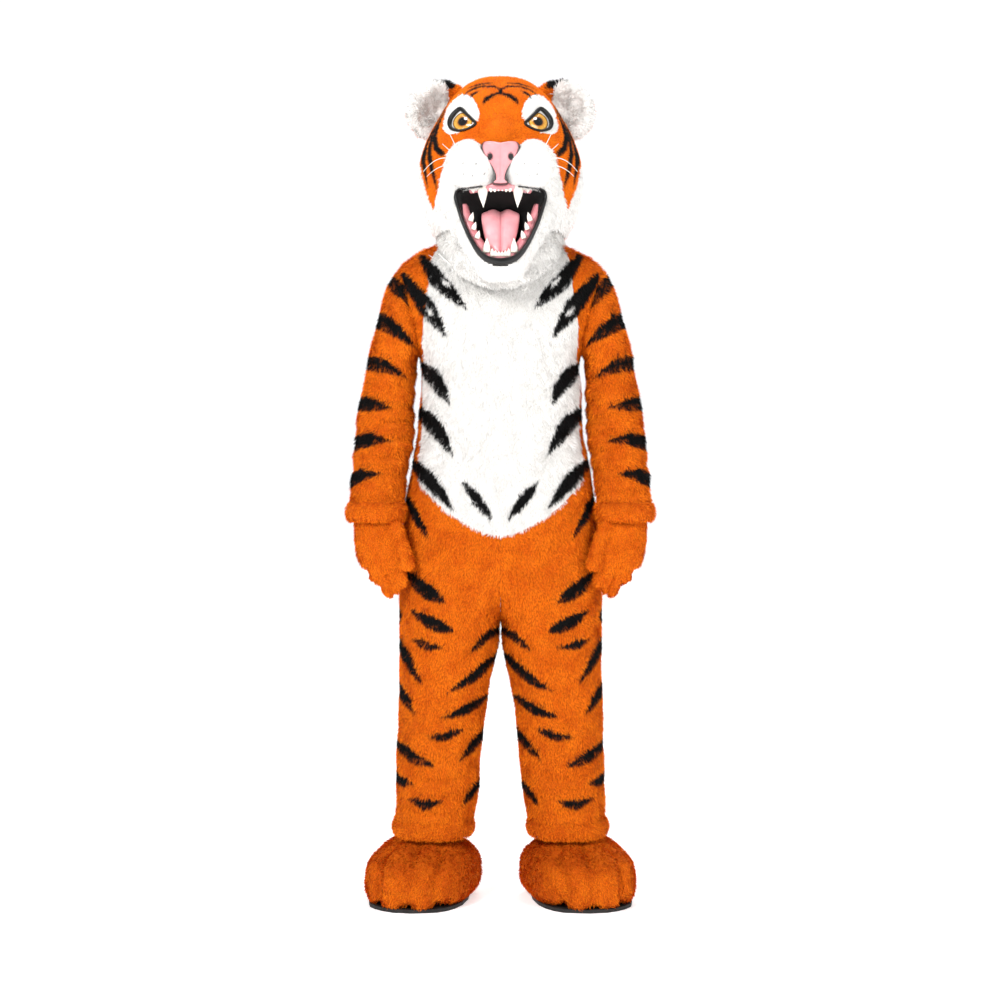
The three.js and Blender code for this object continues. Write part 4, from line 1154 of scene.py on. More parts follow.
def headPanel(places):
    # which panel of the head a place belongs to
    x, y, z = np.abs(places[:, 0]), places[:, 1], places[:, 2]
    ragged = 1.5 * waves(places, 9, 77, 2)
    names = np.full(len(places), "cheek_ruff", dtype="U16")
    masked = insideOutline(places[:, 0] + ragged, z + ragged, maskLine)
    names[masked] = "face_panel"
    bridge = head["bridge"]
    onBridge = (x / bridge["wide"]) ** 2 + ((z - bridge["z"]) / bridge["high"]) ** 2 < 1
    names[onBridge & (y < -198) & masked] = "nose_bridge"
    away = ((x - muzzle["x"]) / muzzle["wide"]) ** 2 + ((z - muzzle["z"]) / muzzle["high"]) ** 2
    onMuzzle = (away < 1.0) & (y < -205) & ~masked
    names[onMuzzle & (places[:, 0] > 0)] = "muzzle_l"
    names[onMuzzle & (places[:, 0] < 0)] = "muzzle_r"
    onPatch = insideOutline(x + ragged, z + ragged, patchLine) & (y < -60)
    names[onPatch & (places[:, 0] > 0)] = "eye_patch_l"
    names[onPatch & (places[:, 0] < 0)] = "eye_patch_r"
    names[y > head["seamBack"]] = "head_back"
    return names


faceStrokes = [
    {"path": [(12, 1874), (44, 1875), (78, 1867)], "width": 5.5, "fat": 0.5, "lead": 0.2, "tail": 0.1},
    {"path": [(0, 1852), (14, 1863), (44, 1866), (70, 1858), (89, 1840)], "width": 6.5, "fat": 0.6,
     "lead": 0.8},
    {"path": [(0, 1856), (0, 1841)], "width": 9, "fat": 0.5, "lead": 0.6, "tail": 0.6},
    {"path": [(1, 1845), (19, 1836), (32, 1827), (40, 1814)], "width": 11, "fat": 0.65, "lead": 0.4},
    {"path": [(47, 1852), (62, 1843), (69, 1830)], "width": 8.5, "fat": 0.4, "lead": 0.2},
    {"path": [(125, 1824), (142, 1786), (149, 1755), (144, 1724), (130, 1707)], "width": 13, "fat": 0.92,
     "lead": 0.2, "tail": 0.8},
    {"path": [(114, 1854), (137, 1814), (149, 1784)], "width": 5.5, "fat": 0.5},
    {"path": [(143, 1804), (156, 1762), (161, 1716), (155, 1682), (142, 1630)], "width": 11, "fat": 0.62,
     "lead": 0.3},
    {"path": [(153, 1790), (170, 1742), (175, 1702), (165, 1640)], "width": 10, "fat": 0.55, "lead": 0.3},
    {"path": [(161, 1766), (178, 1726), (182, 1690)], "width": 6.5, "fat": 0.5, "lead": 0.2},
    {"path": [(102, 1878), (131, 1841), (147, 1806)], "width": 5.5, "fat": 0.5},
]
headBackStripes = [
    {"path": [(0, 1886), (60, 1872), (120, 1826)], "width": 17, "fat": 0.4, "lead": 0.6},
    {"path": [(22, 1842), (86, 1826), (140, 1778)], "width": 19, "fat": 0.4, "lead": 0.4},
    {"path": [(0, 1808), (58, 1786), (118, 1768), (170, 1732)], "width": 21, "fat": 0.4, "lead": 0.6},
    {"path": [(34, 1748), (96, 1722), (160, 1700), (196, 1668)], "width": 21, "fat": 0.5, "lead": 0.3},
    {"path": [(0, 1702), (54, 1682), (112, 1662), (170, 1640)], "width": 22, "fat": 0.4, "lead": 0.6},
    {"path": [(30, 1640), (90, 1618), (150, 1608)], "width": 21, "fat": 0.5, "lead": 0.3},
    {"path": [(0, 1590), (56, 1572), (116, 1572)], "width": 20, "fat": 0.4, "lead": 0.6},
]
paintFace = stripePaint(faceStrokes, headBackStripes, 0.5)
whiskerDots = [(81, 1671), (51, 1669), (80, 1649), (60, 1645), (35, 1648)]


def paintMuzzle(places):
    x, z = np.abs(places[:, 0]), places[:, 2]
    depth = np.full(len(places), -9.0)
    for dotX, dotZ in whiskerDots:
        depth = np.maximum(depth, 1.9 - np.hypot(x - dotX, z - dotZ))
    return np.clip(depth + 0.5, 0, 0.75)


def combedFromNose(down=0.0):
    def lay(roots):
        way = unit(roots - np.array(head["nosePoint"]))
        way[:, 2] -= down
        return way
    return lay


def combedOverMuzzle(roots):
    way = unit(roots - np.array([0, -250, 1700]))
    way[:, 2] -= 0.5
    return way


maskLook = {"pile": 5.5, "bladeWidth": 1.5, "rise": 0.28, "tangle": 0.25, "swirl": 40}
headLooks = {
    "face_panel": (maskLook, "orange", combedFromNose(), paintFace, 1.0),
    "nose_bridge": (maskLook, "orange", combedFromNose(), None, 1.0),
    "eye_patch_l": (dict(maskLook, pile=6), "white", combedFromNose(), paintFace, 1.0),
    "eye_patch_r": (dict(maskLook, pile=6), "white", combedFromNose(), paintFace, 1.0),
    "muzzle_l": (dict(maskLook, pile=6.5, rise=0.35), "white", combedOverMuzzle, paintMuzzle, 1.0),
    "muzzle_r": (dict(maskLook, pile=6.5, rise=0.35), "white", combedOverMuzzle, paintMuzzle, 1.0),
    "cheek_ruff": (dict(suit, pile=8.5, bladeWidth=2.0, rise=0.38), "white", combedFromNose(0.6), None, 0.62),
    "head_back": (dict(suit, pile=11.0, bladeWidth=2.3), "orange", combedFromNose(0.8), paintFace, 0.5),
}
roots, rootNormals = scatter(headSkin, headFaces, 305000, 101)
rootPanels = headPanel(roots)
facePanels = headPanel(centres)
thinning = np.random.default_rng(102).random(len(roots))
for index, (name, (look, tone, lay, paint, density)) in enumerate(headLooks.items()):
    material = {"orange": orangePlush, "white": whitePlush}[tone]
    panelPoints, panelFaces = part(headSkin, headFaces, facePanels == name)
    cloth = clothOf(name, panelPoints, panelFaces, material, name, 4.0, paint)
    mine = (rootPanels == name) & (thinning < density)
    pile = plantBlades(name + "_pile", roots[mine], rootNormals[mine], material, look, lay, paint,
                       110 + index)
    print("head:", name, len(panelFaces), "faces,", int(mine.sum()), "blades")
showTime("head skin made")

# neck skirt of the head

skirt = {
    "top": 1574,
    "frontDrop": 1411,
    "backDrop": 1446,
    "rise": 0.0044,  # how fast the edge climbs to the sides
    "roll": 9,  # mm, the edge turns under
    "mouthWider": 1.06,  # nothing of it stands inside the mouth's outline, this much wider
    "mouthHalf": 92,  # nor above this height, this far to each side
    "mouthFoot": 1500,
    "columns": 96,
}
skirtRows = [
    {"z": 1400, "half": 160, "front": 158, "back": 140},
    {"z": 1450, "half": 164, "front": 166, "back": 148},
    {"z": 1490, "half": 160, "front": 166, "back": 147},
    {"z": 1520, "half": 152, "front": 165, "back": 144},
    {"z": 1538, "half": 147, "front": 166, "back": 138},
    {"z": 1576, "half": 150, "front": 164, "back": 144},
]
skirtFolds = [
    {"side": 0, "path": [(-150, 1500), (-40, 1452)], "width": 12, "depth": -4, "bow": -6},
    {"side": 0, "path": [(148, 1496), (36, 1450)], "width": 12, "depth": -4, "bow": 6},
    {"side": 0, "path": [(-96, 1532), (-30, 1470)], "width": 14, "depth": -4},
    {"side": 0, "path": [(98, 1530), (34, 1474)], "width": 14, "depth": -4},
]


def skirtGrid(back):
    sign = 1 if back else -1
    turn = np.linspace(0, math.pi, skirt["columns"] // 2 + 1)
    cos, sin = power(np.cos(turn), 2.2), power(np.sin(turn), 2.2)
    rows = []
    drop = skirt["backDrop"] if back else skirt["frontDrop"]
    for t in np.linspace(0, 1, 20):
        edge = drop + skirt["rise"] * (150 * cos) ** 2
        z = skirt["top"] + (np.minimum(edge, skirt["top"] - 12) - skirt["top"]) * t
        half, reach = column(skirtRows, "half", z), column(skirtRows, "back" if back else "front", z)
        rows.append(np.stack([half * cos, sign * reach * sin, z], 1))
    inward = -unit(np.stack([cos, sign * sin, np.zeros_like(cos)], 1))
    low = rows[-1]
    for reach, lift in ((0.35, -4), (0.9, -2), (1.1, 5)):
        rows.append(low + inward * skirt["roll"] * reach + [0, 0, lift])
    grid = np.stack(rows)
    return grid if back else grid[:, ::-1]


for name, back, tone, seed in (("skirt_front", False, "white", 131), ("skirt_back", True, "orange", 132)):
    grid = skirtGrid(back)
    faces = gridFaces(*grid.shape[:2])
    points = grid.reshape(-1, 3)
    if (normalsOf(points, faces) * points)[:, :2].sum() < 0:
        faces = faces[:, ::-1]
    normals = normalsOf(points, faces)
    points = points + normals * (foldDepth(points, skirtFolds if not back else [], 0)
                                 + 2 * waves(points, 70, seed, 2) - 2)[:, None]
    look = dict(suit, pile=9.5, rise=0.42)
    middles = points[faces].mean(1)
    inMouth = insideOutline(middles[:, 0], middles[:, 2], mouthLine * [skirt["mouthWider"], 1.0])
    inMouth |= (np.abs(middles[:, 0]) < skirt["mouthHalf"]) & (middles[:, 2] > skirt["mouthFoot"])
    inMouth &= middles[:, 1] < 0
    shown, shownFaces = part(points, faces, ~inMouth)
    coverPanel(name, shown, shownFaces, points.reshape(grid.shape), tone, name, paintFace if back else None,
               combedDown(0.15), seed, look=look)
showTime("neck skirt made")

# ears

ear = {
    "x": 146,
    "y": 14,
    "z": 1844,
    "radius": 72,
    "cup": 16,
    "sides": 60,
    "whiteEdge": [(122, 1872), (134, 1902), (160, 1910), (184, 1914), (236, 1890), (250, 1820), (214, 1740),
                  (150, 1730), (80, 1750), (90, 1790), (112, 1818), (124, 1846)],
}
# across the ear from the middle of its front (0) to its rim (1) and on to the middle of its back (2)
earRows = [
    {"z": 0.0, "out": 0.0, "y": 8},
    {"z": 0.25, "out": 0.26, "y": 4},
    {"z": 0.5, "out": 0.52, "y": -12},
    {"z": 0.72, "out": 0.76, "y": -24},
    {"z": 0.9, "out": 0.94, "y": -17},
    {"z": 1.0, "out": 1.0, "y": -4},
    {"z": 1.12, "out": 0.97, "y": 9},
    {"z": 1.35, "out": 0.82, "y": 20},
    {"z": 1.7, "out": 0.42, "y": 28},
    {"z": 2.0, "out": 0.0, "y": 30},
]
earLook = {"pile": 12.0, "bladeWidth": 1.9, "rise": 0.45, "tangle": 0.8, "swirl": 26,
           "perSquareMetre": 250000}


def earSkin(side):
    # rows run from the middle of the front, over the rim, to the middle of the back
    turn = np.arange(ear["sides"]) / ear["sides"] * 2 * math.pi
    rows = []
    for t in np.linspace(0.02, 1.98, 48):
        out, y = float(column(earRows, "out", t)), float(column(earRows, "y", t))
        # the cup is deepest low down and next to the head, where the plush folds in
        fold = np.clip(np.cos(turn - math.radians(205)), 0, 1) * math.sin(min(t, 1) * math.pi) ** 2
        outline = 1 + 0.035 * np.cos(2 * turn + 0.6)
        x = ear["x"] + ear["radius"] * out * outline * np.cos(turn) - (1 - out) * 8
        z = ear["z"] + ear["radius"] * out * outline * np.sin(turn) - (1 - out) * 7
        rows.append(np.stack([x * side, ear["y"] + y + ear["cup"] * fold * (t < 1), z], 1))
    grid = np.stack(rows)
    points = grid.reshape(-1, 3)
    faces = tubeFaces(grid.shape[0], ear["sides"], side > 0)
    normals = normalsOf(points, faces)
    if (normals[:, 1] * np.sign(points[:, 1] - ear["y"])).sum() < 0:
        faces = faces[:, ::-1]
        normals = -normals
    puffs = 2.5 * waves(points, 34, 17, 2)
    return points + normals * puffs[:, None], faces


def earFront(places, normals):
    # white on the side that faces forward, inside its outline
    across = np.abs(places[:, 0]) + 2 * waves(places, 14, 19, 2)
    return insideOutline(across, places[:, 2], softOutline(ear["whiteEdge"])) & (normals[:, 1] < 0.25)


def paintEarBack(places):
    # the black tip on the upper rim
    x, z = np.abs(places[:, 0]), places[:, 2]
    ragged = 2 * waves(places, 9, 23, 2)
    high = (z - (1886 - 0.10 * (x - 146)) + ragged) / 3
    ahead = (x - 108 + ragged) / 3
    behind = (-places[:, 1] + 46 + ragged) / 3
    return np.clip(np.minimum(np.minimum(high, ahead), behind), 0, 1)


def combedFromEar(side):
    def lay(roots):
        way = roots - np.array([side * ear["x"], ear["y"], ear["z"]])
        way[:, 1] *= 0.3
        return unit(way)
    return lay


for side, tag in ((1, "l"), (-1, "r")):
    skin, skinFaces = earSkin(side)
    roots, rootNormals = scatter(skin, skinFaces, earLook["perSquareMetre"], 141 + side)
    middles = skin[skinFaces].mean(1)
    faceNormals = unit(np.cross(skin[skinFaces[:, 2]] - skin[skinFaces[:, 0]],
                                skin[skinFaces[:, 3]] - skin[skinFaces[:, 1]]))
    for name, tone, paint, wanted in (("ear_front_" + tag, "white", None, True),
                                      ("ear_back_" + tag, "orange", paintEarBack, False)):
        chosen = earFront(middles, faceNormals) == wanted
        panelPoints, panelFaces = part(skin, skinFaces, chosen)
        material = {"orange": orangePlush, "white": whitePlush}[tone]
        cloth = clothOf(name, panelPoints, panelFaces, material, name, 4.0, paint)
        mine = earFront(roots, rootNormals) == wanted
        look = earLook if wanted else dict(suit, pile=9)
        pile = plantBlades(name + "_pile", roots[mine], rootNormals[mine], material, look,
                           combedFromEar(side), paint, 151 + side)
showTime("ears made")

# gloves

palmRows = [
    {"x": 289, "y": -66, "z": 906, "across": 48, "deep": 42},
    {"x": 287, "y": -73, "z": 868, "across": 51, "deep": 43},
    {"x": 280, "y": -83, "z": 820, "across": 55, "deep": 41},
    {"x": 272, "y": -91, "z": 782, "across": 54, "deep": 36},
    {"x": 265, "y": -95, "z": 758, "across": 42, "deep": 28},
]
fingers = [
    {"from": (300, -90, 800), "to": (288, -97, 752), "radius": 21},
    {"from": (276, -92, 790), "to": (252, -99, 724), "radius": 23},
    {"from": (244, -94, 790), "to": (231, -101, 744), "radius": 21},
    {"from": (244, -98, 872), "to": (213, -124, 784), "radius": 20},
]
gloveSplit = -86
gloveLook = dict(suit, pile=8.5, rise=0.38, perSquareMetre=240000)


def combedToFingers(roots):
    way = np.zeros_like(roots)
    way[:, 0] = -0.3 * np.sign(roots[:, 0])
    way[:, 1] = -0.1
    way[:, 2] = -1
    return way


for side, tag in ((1, "l"), (-1, "r")):
    rings = [plainRing(row["x"], row["y"], row["z"], row["across"], row["deep"], 40, side)
             for row in palmRows]
    palm = throughRings(rings, 8)
    palmPoints = palm.reshape(-1, 3)
    sides = palm.shape[1]
    palmPoints = np.concatenate([palmPoints, [palm[0].mean(0)], [palm[-1].mean(0)]])
    walls = [tuple(face) for face in tubeFaces(palm.shape[0], sides, side > 0)]
    first, last = len(palmPoints) - 2, len(palmPoints) - 1
    base = (palm.shape[0] - 1) * sides
    for k in range(sides):
        nextOne = (k + 1) % sides
        top, bottom = (first, k, nextOne), (last, base + nextOne, base + k)
        walls += [top, bottom] if side < 0 else [top[::-1], bottom[::-1]]
    forms = [(palmPoints, walls)]
    for finger in fingers:
        start, end = np.array(finger["from"], float), np.array(finger["to"], float)
        for t in np.linspace(0, 1, 9):
            middle = start + (end - start) * t
            radius = finger["radius"] * (1 - 0.06 * t)
            forms.append(ballMesh((middle[0] * side, middle[1], middle[2]), (radius, radius, radius), 12, 20))
    skin, skinFaces = fuse(forms, 3.6, 5)
    if (normalsOf(skin, skinFaces) * (skin - skin.mean(0))).sum() < 0:
        skinFaces = skinFaces[:, ::-1]
    normals = normalsOf(skin, skinFaces)
    groove = np.zeros(len(skin))
    for a, b in (((318, 775), (287, 722)), ((278, 788), (239, 702))):
        # sewn lines between the fingers
        (x0, z0), (x1, z1) = a, b
        length = math.hypot(x1 - x0, z1 - z0)
        ux, uz = (x1 - x0) / length, (z1 - z0) / length
        along = (side * skin[:, 0] - x0) * ux + (skin[:, 2] - z0) * uz
        off = -(side * skin[:, 0] - x0) * uz + (skin[:, 2] - z0) * ux
        groove += 7 * np.exp(-(off / 5) ** 2) * np.clip(along / 12, 0, 1) * (along < length + 12)
    skin = skin - normals * (groove + 2)[:, None]
    middles = skin[skinFaces].mean(1)
    skinFaces = skinFaces[middles[:, 2] < 900]
    middles = skin[skinFaces].mean(1)
    roots, rootNormals = scatter(skin, skinFaces, gloveLook["perSquareMetre"], 161 + side)
    for name, front in (("glove_back_" + tag, True), ("glove_palm_" + tag, False)):
        panelPoints, panelFaces = part(skin, skinFaces, (middles[:, 1] < gloveSplit) == front)
        cloth = clothOf(name, panelPoints, panelFaces, orangePlush, name, 4.0)
        mine = ((roots[:, 1] < gloveSplit) == front) & (roots[:, 2] < 893)
        pile = plantBlades(name + "_pile", roots[mine], rootNormals[mine], orangePlush, gloveLook,
                           combedToFingers, None, 171 + side + (0 if front else 4))
showTime("gloves made")

# smooth parts of the face


def makeWearGroup():
    # fine unevenness of colour and height for moulded, painted and sewn parts
    inputs = [("Base", "NodeSocketColor", (0.5, 0.5, 0.5, 1)),
              ("Shade", "NodeSocketColor", (0.4, 0.4, 0.4, 1)), ("Scale", "NodeSocketFloat", 40.0),
              ("Grain", "NodeSocketFloat", 900.0)]
    group, nodes, given, result = newGroup("fineWear", inputs,
                                           [("Color", "NodeSocketColor"), ("Roughness", "NodeSocketFloat"),
                                            ("Height", "NodeSocketFloat")])
    links = group.links
    place = nodes.new("ShaderNodeTexCoord")
    soft = nodes.new("ShaderNodeTexNoise")
    soft.inputs["Detail"].default_value = 4.0
    links.new(place.outputs["Object"], soft.inputs["Vector"])
    links.new(given.outputs["Scale"], soft.inputs["Scale"])
    fine = nodes.new("ShaderNodeTexNoise")
    fine.inputs["Detail"].default_value = 2.0
    links.new(place.outputs["Object"], fine.inputs["Vector"])
    links.new(given.outputs["Grain"], fine.inputs["Scale"])
    cloudy = rangeOf(nodes, links, soft.outputs["Fac"], 0.35, 0.7)
    links.new(mixColours(nodes, links, cloudy, given.outputs["Base"], given.outputs["Shade"]),
              result.inputs["Color"])
    links.new(rangeOf(nodes, links, soft.outputs["Fac"], 0.3, 0.7), result.inputs["Roughness"])
    links.new(fine.outputs["Fac"], result.inputs["Height"])
    return group


wearGroup = makeWearGroup()


def partMaterial(name, base, shade, rough, scale=40.0, grain=900.0, bump=0.05, coat=0.0,
                 edge=None):
    material, nodes, links, shader = principled(name)
    wear = nodes.new("ShaderNodeGroup")
    wear.node_tree = wearGroup
    wear.inputs["Base"].default_value = base
    wear.inputs["Shade"].default_value = shade
    wear.inputs["Scale"].default_value = scale
    wear.inputs["Grain"].default_value = grain
    colour = wear.outputs["Color"]
    if edge is not None:
        # a painted part: `paint` says where, on the surface
        painted = nodes.new("ShaderNodeAttribute")
        painted.attribute_name = "paint"
        colour = mixColours(nodes, links, painted.outputs["Fac"], colour, edge)
    links.new(colour, shader.inputs["Base Color"])
    links.new(rangeOf(nodes, links, wear.outputs["Roughness"], 0, 1, rough[0], rough[1]),
              shader.inputs["Roughness"])
    bumpNode = nodes.new("ShaderNodeBump")
    bumpNode.inputs["Strength"].default_value = bump
    bumpNode.inputs["Distance"].default_value = 0.001
    links.new(wear.outputs["Height"], bumpNode.inputs["Height"])
    links.new(bumpNode.outputs["Normal"], shader.inputs["Normal"])
    shader.inputs["Coat Weight"].default_value = coat
    shader.inputs["Coat Roughness"].default_value = 0.12
    shader.inputs["Specular IOR Level"].default_value = 0.3
    return material


# what each moulded or painted part is made of, two tones and how rough it is
partLooks = {
    "pinkNose": {"base": (0.74, 0.31, 0.33, 1), "shade": (0.66, 0.24, 0.26, 1), "rough": (0.3, 0.42),
                 "scale": 30, "grain": 700, "bump": 0.08, "coat": 0.25, "edge": (0.004, 0.004, 0.004, 1)},
    "pinkGum": {"base": (0.80, 0.33, 0.35, 1), "shade": (0.68, 0.22, 0.25, 1), "rough": (0.2, 0.32),
                "scale": 45, "grain": 400, "bump": 0.08, "coat": 0.5},
    "pinkTongue": {"base": (0.86, 0.40, 0.42, 1), "shade": (0.78, 0.30, 0.33, 1), "rough": (0.28, 0.4),
                   "scale": 40, "grain": 1200, "bump": 0.25, "coat": 0.3, "edge": (0.42, 0.10, 0.12, 1)},
    "ivoryTooth": {"base": (0.90, 0.87, 0.80, 1), "shade": (0.82, 0.77, 0.67, 1), "rough": (0.18, 0.3),
                   "scale": 60, "grain": 500, "bump": 0.05, "coat": 0.5, "edge": (0.70, 0.60, 0.48, 1)},
    "blackLip": {"base": (0.006, 0.006, 0.006, 1), "shade": (0.014, 0.013, 0.013, 1), "rough": (0.28, 0.42),
                 "scale": 35, "grain": 500, "bump": 0.1, "coat": 0.15},
    "blackLid": {"base": (0.005, 0.005, 0.005, 1), "shade": (0.012, 0.011, 0.011, 1), "rough": (0.35, 0.5),
                 "scale": 60, "grain": 900, "bump": 0.1},
    "blackLining": {"base": (0.004, 0.004, 0.004, 1), "shade": (0.010, 0.009, 0.009, 1),
                    "rough": (0.85, 0.95), "scale": 60, "grain": 1500, "bump": 0.3},
    "blackSole": {"base": (0.012, 0.012, 0.012, 1), "shade": (0.03, 0.029, 0.028, 1), "rough": (0.55, 0.75),
                  "scale": 50, "grain": 600, "bump": 0.4},
    "whiteWhisker": {"base": (0.9, 0.9, 0.88, 1), "shade": (0.8, 0.8, 0.78, 1), "rough": (0.3, 0.4),
                     "scale": 80, "grain": 900, "bump": 0.05},
}
madeOf = {name: partMaterial(name, **look) for name, look in partLooks.items()}

skinTree = BVHTree.FromPolygons((headSkin * mm).tolist(), [tuple(map(int, face)) for face in wholeFaces])


def frontOf(x, z):
    # how far forward the head's skin is at a place, in mm
    hit = skinTree.ray_cast(Vector((x * mm, -1.0, z * mm)), Vector((0, 1, 0)))
    return hit[0].y / mm if hit[0] else -200.0


def sweepTube(line, widths, depths, sides=14, closed=False):
    # a rounded bead along a line: width is in the plane of the face, depth is front to back
    line = np.array(line, float)
    if closed:
        ahead = np.roll(line, -1, 0) - np.roll(line, 1, 0)
    else:
        ahead = np.gradient(line, axis=0)
    ahead = unit(ahead)
    forward = np.tile([0.0, -1.0, 0.0], (len(line), 1))
    across = unit(np.cross(ahead, forward))
    forward = unit(np.cross(across, ahead))
    turn = np.arange(sides) / sides * 2 * math.pi
    wide = np.cos(turn)[None, :, None] * np.array(widths)[:, None, None] / 2
    deep = np.sin(turn)[None, :, None] * np.array(depths)[:, None, None] / 2
    rings = (line[:, None] + across[:, None] * wide + forward[:, None] * deep)
    points = rings.reshape(-1, 3)
    faces = gridFaces(len(line), sides, closed=True)
    if closed:
        k = np.arange(sides)
        base = (len(line) - 1) * sides
        faces = np.concatenate([faces, np.stack([base + k, base + (k + 1) % sides, (k + 1) % sides, k], 1)])
    return points, faces


def facePiece(name, points, faces, material, nodes, slot, paint=None):
    centre = points.mean(0)
    if (normalsOf(points, faces) * (points - centre)).sum() < 0 and slot != "keep":
        faces = faces[:, ::-1]
    piece = newPiece(name, points, faces, material)
    if paint is not None:
        addValues(piece.data, "paint", paint)
    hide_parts(*nodes)
    return piece


def evenLine(line, count, closed=False):
    line = np.array(line, float)
    if closed:
        line = np.concatenate([line, line[:1]])
    length = np.concatenate([[0], np.cumsum(np.linalg.norm(np.diff(line, axis=0), axis=1))])
    even = np.linspace(0, length[-1], count + (1 if closed else 0))[: count]
    return np.stack([np.interp(even, length, line[:, axis]) for axis in range(line.shape[1])], 1)


# lip: a glossy bead round the open mouth, thickest under the chin
lip = {
    "path": [(40, 1624), (70, 1621), (97, 1624), (103, 1612), (96, 1588), (86, 1552), (69, 1513), (50, 1481),
             (32, 1463), (0, 1456)],
    "widths": [3, 4, 8, 11, 9.5, 9, 10, 12.5, 15, 17],
    "depth": 22,
}
half = np.array([(x, z, w) for (x, z), w in zip(lip["path"], lip["widths"])], float)
whole = np.concatenate([half, (half * [-1, 1, 1])[::-1][1:]])
soft = evenLine(np.concatenate([evenLine(whole, 60)]), 110)
for _ in range(6):
    soft[1:-1] = (soft[:-2] + 2 * soft[1:-1] + soft[2:]) / 4
lipLine = np.array([(x, min(frontOf(x, z), frontOf(x * 1.1, z)) + 3, z) for x, z, _ in soft])
for _ in range(10):
    lipLine[1:-1, 1] = (lipLine[:-2, 1] + 2 * lipLine[1:-1, 1] + lipLine[2:, 1]) / 4
tubePoints, tubeQuads = sweepTube(lipLine, soft[:, 2], np.full(len(soft), float(lip["depth"])))
facePiece("lip_rim", tubePoints, tubeQuads, madeOf["blackLip"], ["lip_rim"], "lip")

# lower gum: a rounded band inside the lip, sloping back into the mouth
inner = (soft[:, 1] < 1590)
gumRows = []
gumLine, gumWidth = lipLine[inner], soft[inner, 2]
gumAhead = unit(np.gradient(gumLine, axis=0))
gumInward = unit(np.cross(gumAhead, np.tile([0.0, 1.0, 0.0], (len(gumLine), 1))))
if (gumInward[len(gumLine) // 2, 2]) < 0:
    gumInward = -gumInward
for inward, back in ((-0.1, 10), (0.15, 5), (0.45, 3), (0.75, 6), (1.0, 12), (1.15, 22), (1.1, 34)):
    reach = gumWidth[:, None] * 0.35 + 17 * inward
    gumRows.append(gumLine + gumInward * reach + np.array([0, back + 4, 0]))
gumGrid = np.stack(gumRows)
gumPoints = gumGrid.reshape(-1, 3)
gumPoints += normalsOf(gumPoints, gridFaces(*gumGrid.shape[:2])) * (0.9 * waves(gumPoints, 16, 3, 2))[:, None]


def sheetSolid(grid, thickness, forward=True):
    # a closed pad from a grid, `thickness` mm deep behind its face
    faces = gridFaces(*grid.shape[:2])
    points = grid.reshape(-1, 3)
    normals = normalsOf(points, faces)
    if (normals[:, 1].sum() > 0) == forward:
        faces, normals = faces[:, ::-1], -normals
    count = len(points)
    edges = np.concatenate([faces[:, [k, (k + 1) % 4]] for k in range(4)])
    keys = edges[:, 0].astype(np.int64) * count + edges[:, 1]
    rim = edges[~np.isin(keys, edges[:, 1].astype(np.int64) * count + edges[:, 0])]
    sides = np.stack([rim[:, 1], rim[:, 0], rim[:, 0] + count, rim[:, 1] + count], 1)
    return (np.concatenate([points, points - normals * thickness]),
            np.concatenate([faces, faces[:, ::-1] + count, sides]))


solidPoints, solidQuads = sheetSolid(gumPoints.reshape(gumGrid.shape), 4)
newGum = newPiece("lower_gum", solidPoints, solidQuads, madeOf["pinkGum"])
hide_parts("lower_gum")

# mouth: a black bag behind the lip, closed at the throat
pouch = {
    "rows": [(0.02, -124), (0.3, -128), (0.52, -146), (0.7, -170), (0.86, -190), (0.96, -204), (1.0, None)],
    "middle": (0, 1556),
    "wall": 3.0,
    "sides": 90,
    "behindSkin": 9,  # mm, the front edge lies this far inside the lip
}
rimLine = evenLine(soft[:, :2], pouch["sides"], closed=True)
rimFront = np.array([min(frontOf(x, z), -180.0) for x, z in rimLine]) + pouch["behindSkin"]
for _ in range(10):
    rimFront = (np.roll(rimFront, 1) + 2 * rimFront + np.roll(rimFront, -1)) / 4
bag = []
for share, y in pouch["rows"]:
    flat = np.array(pouch["middle"]) + (rimLine - pouch["middle"]) * share
    depth = rimFront if y is None else np.full(pouch["sides"], float(y))
    bag.append(np.stack([flat[:, 0], depth, flat[:, 1]], 1))
outer = []
for row, (share, _) in zip(bag, pouch["rows"]):
    away = unit(row[:, [0, 2]] - pouch["middle"]) * pouch["wall"] * share
    back = np.full(pouch["sides"], pouch["wall"] * (1 - share))
    outer.append(row + np.stack([away[:, 0], back, away[:, 1]], 1))
bagRings = bag + outer[::-1]
bagPoints = np.concatenate(bagRings)
bagFaces = tubeFaces(len(bagRings), pouch["sides"], True)
lining = slice(pouch["sides"], pouch["sides"] * 4)  # rows of the inner side, which faces forward
if normalsOf(bagPoints, bagFaces)[lining, 1].sum() > 0:
    bagFaces = bagFaces[:, ::-1]
mouthBag = newPiece("mouth_lining", bagPoints, bagFaces, madeOf["blackLining"])
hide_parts("mouth_lining")

# upper gum: a shallow arch under the muzzle
arch = []
for x in np.linspace(-66, 66, 45):
    bend = (x / 66) ** 2
    middle = np.array([x, -226 + 26 * bend, 1625 - 2 * bend])
    arch.append(middle)
tubePoints, tubeQuads = sweepTube(arch, np.full(45, 19.0), np.full(45, 16.0))
facePiece("upper_gum", tubePoints, tubeQuads, madeOf["pinkGum"], ["upper_gum"], "gum")

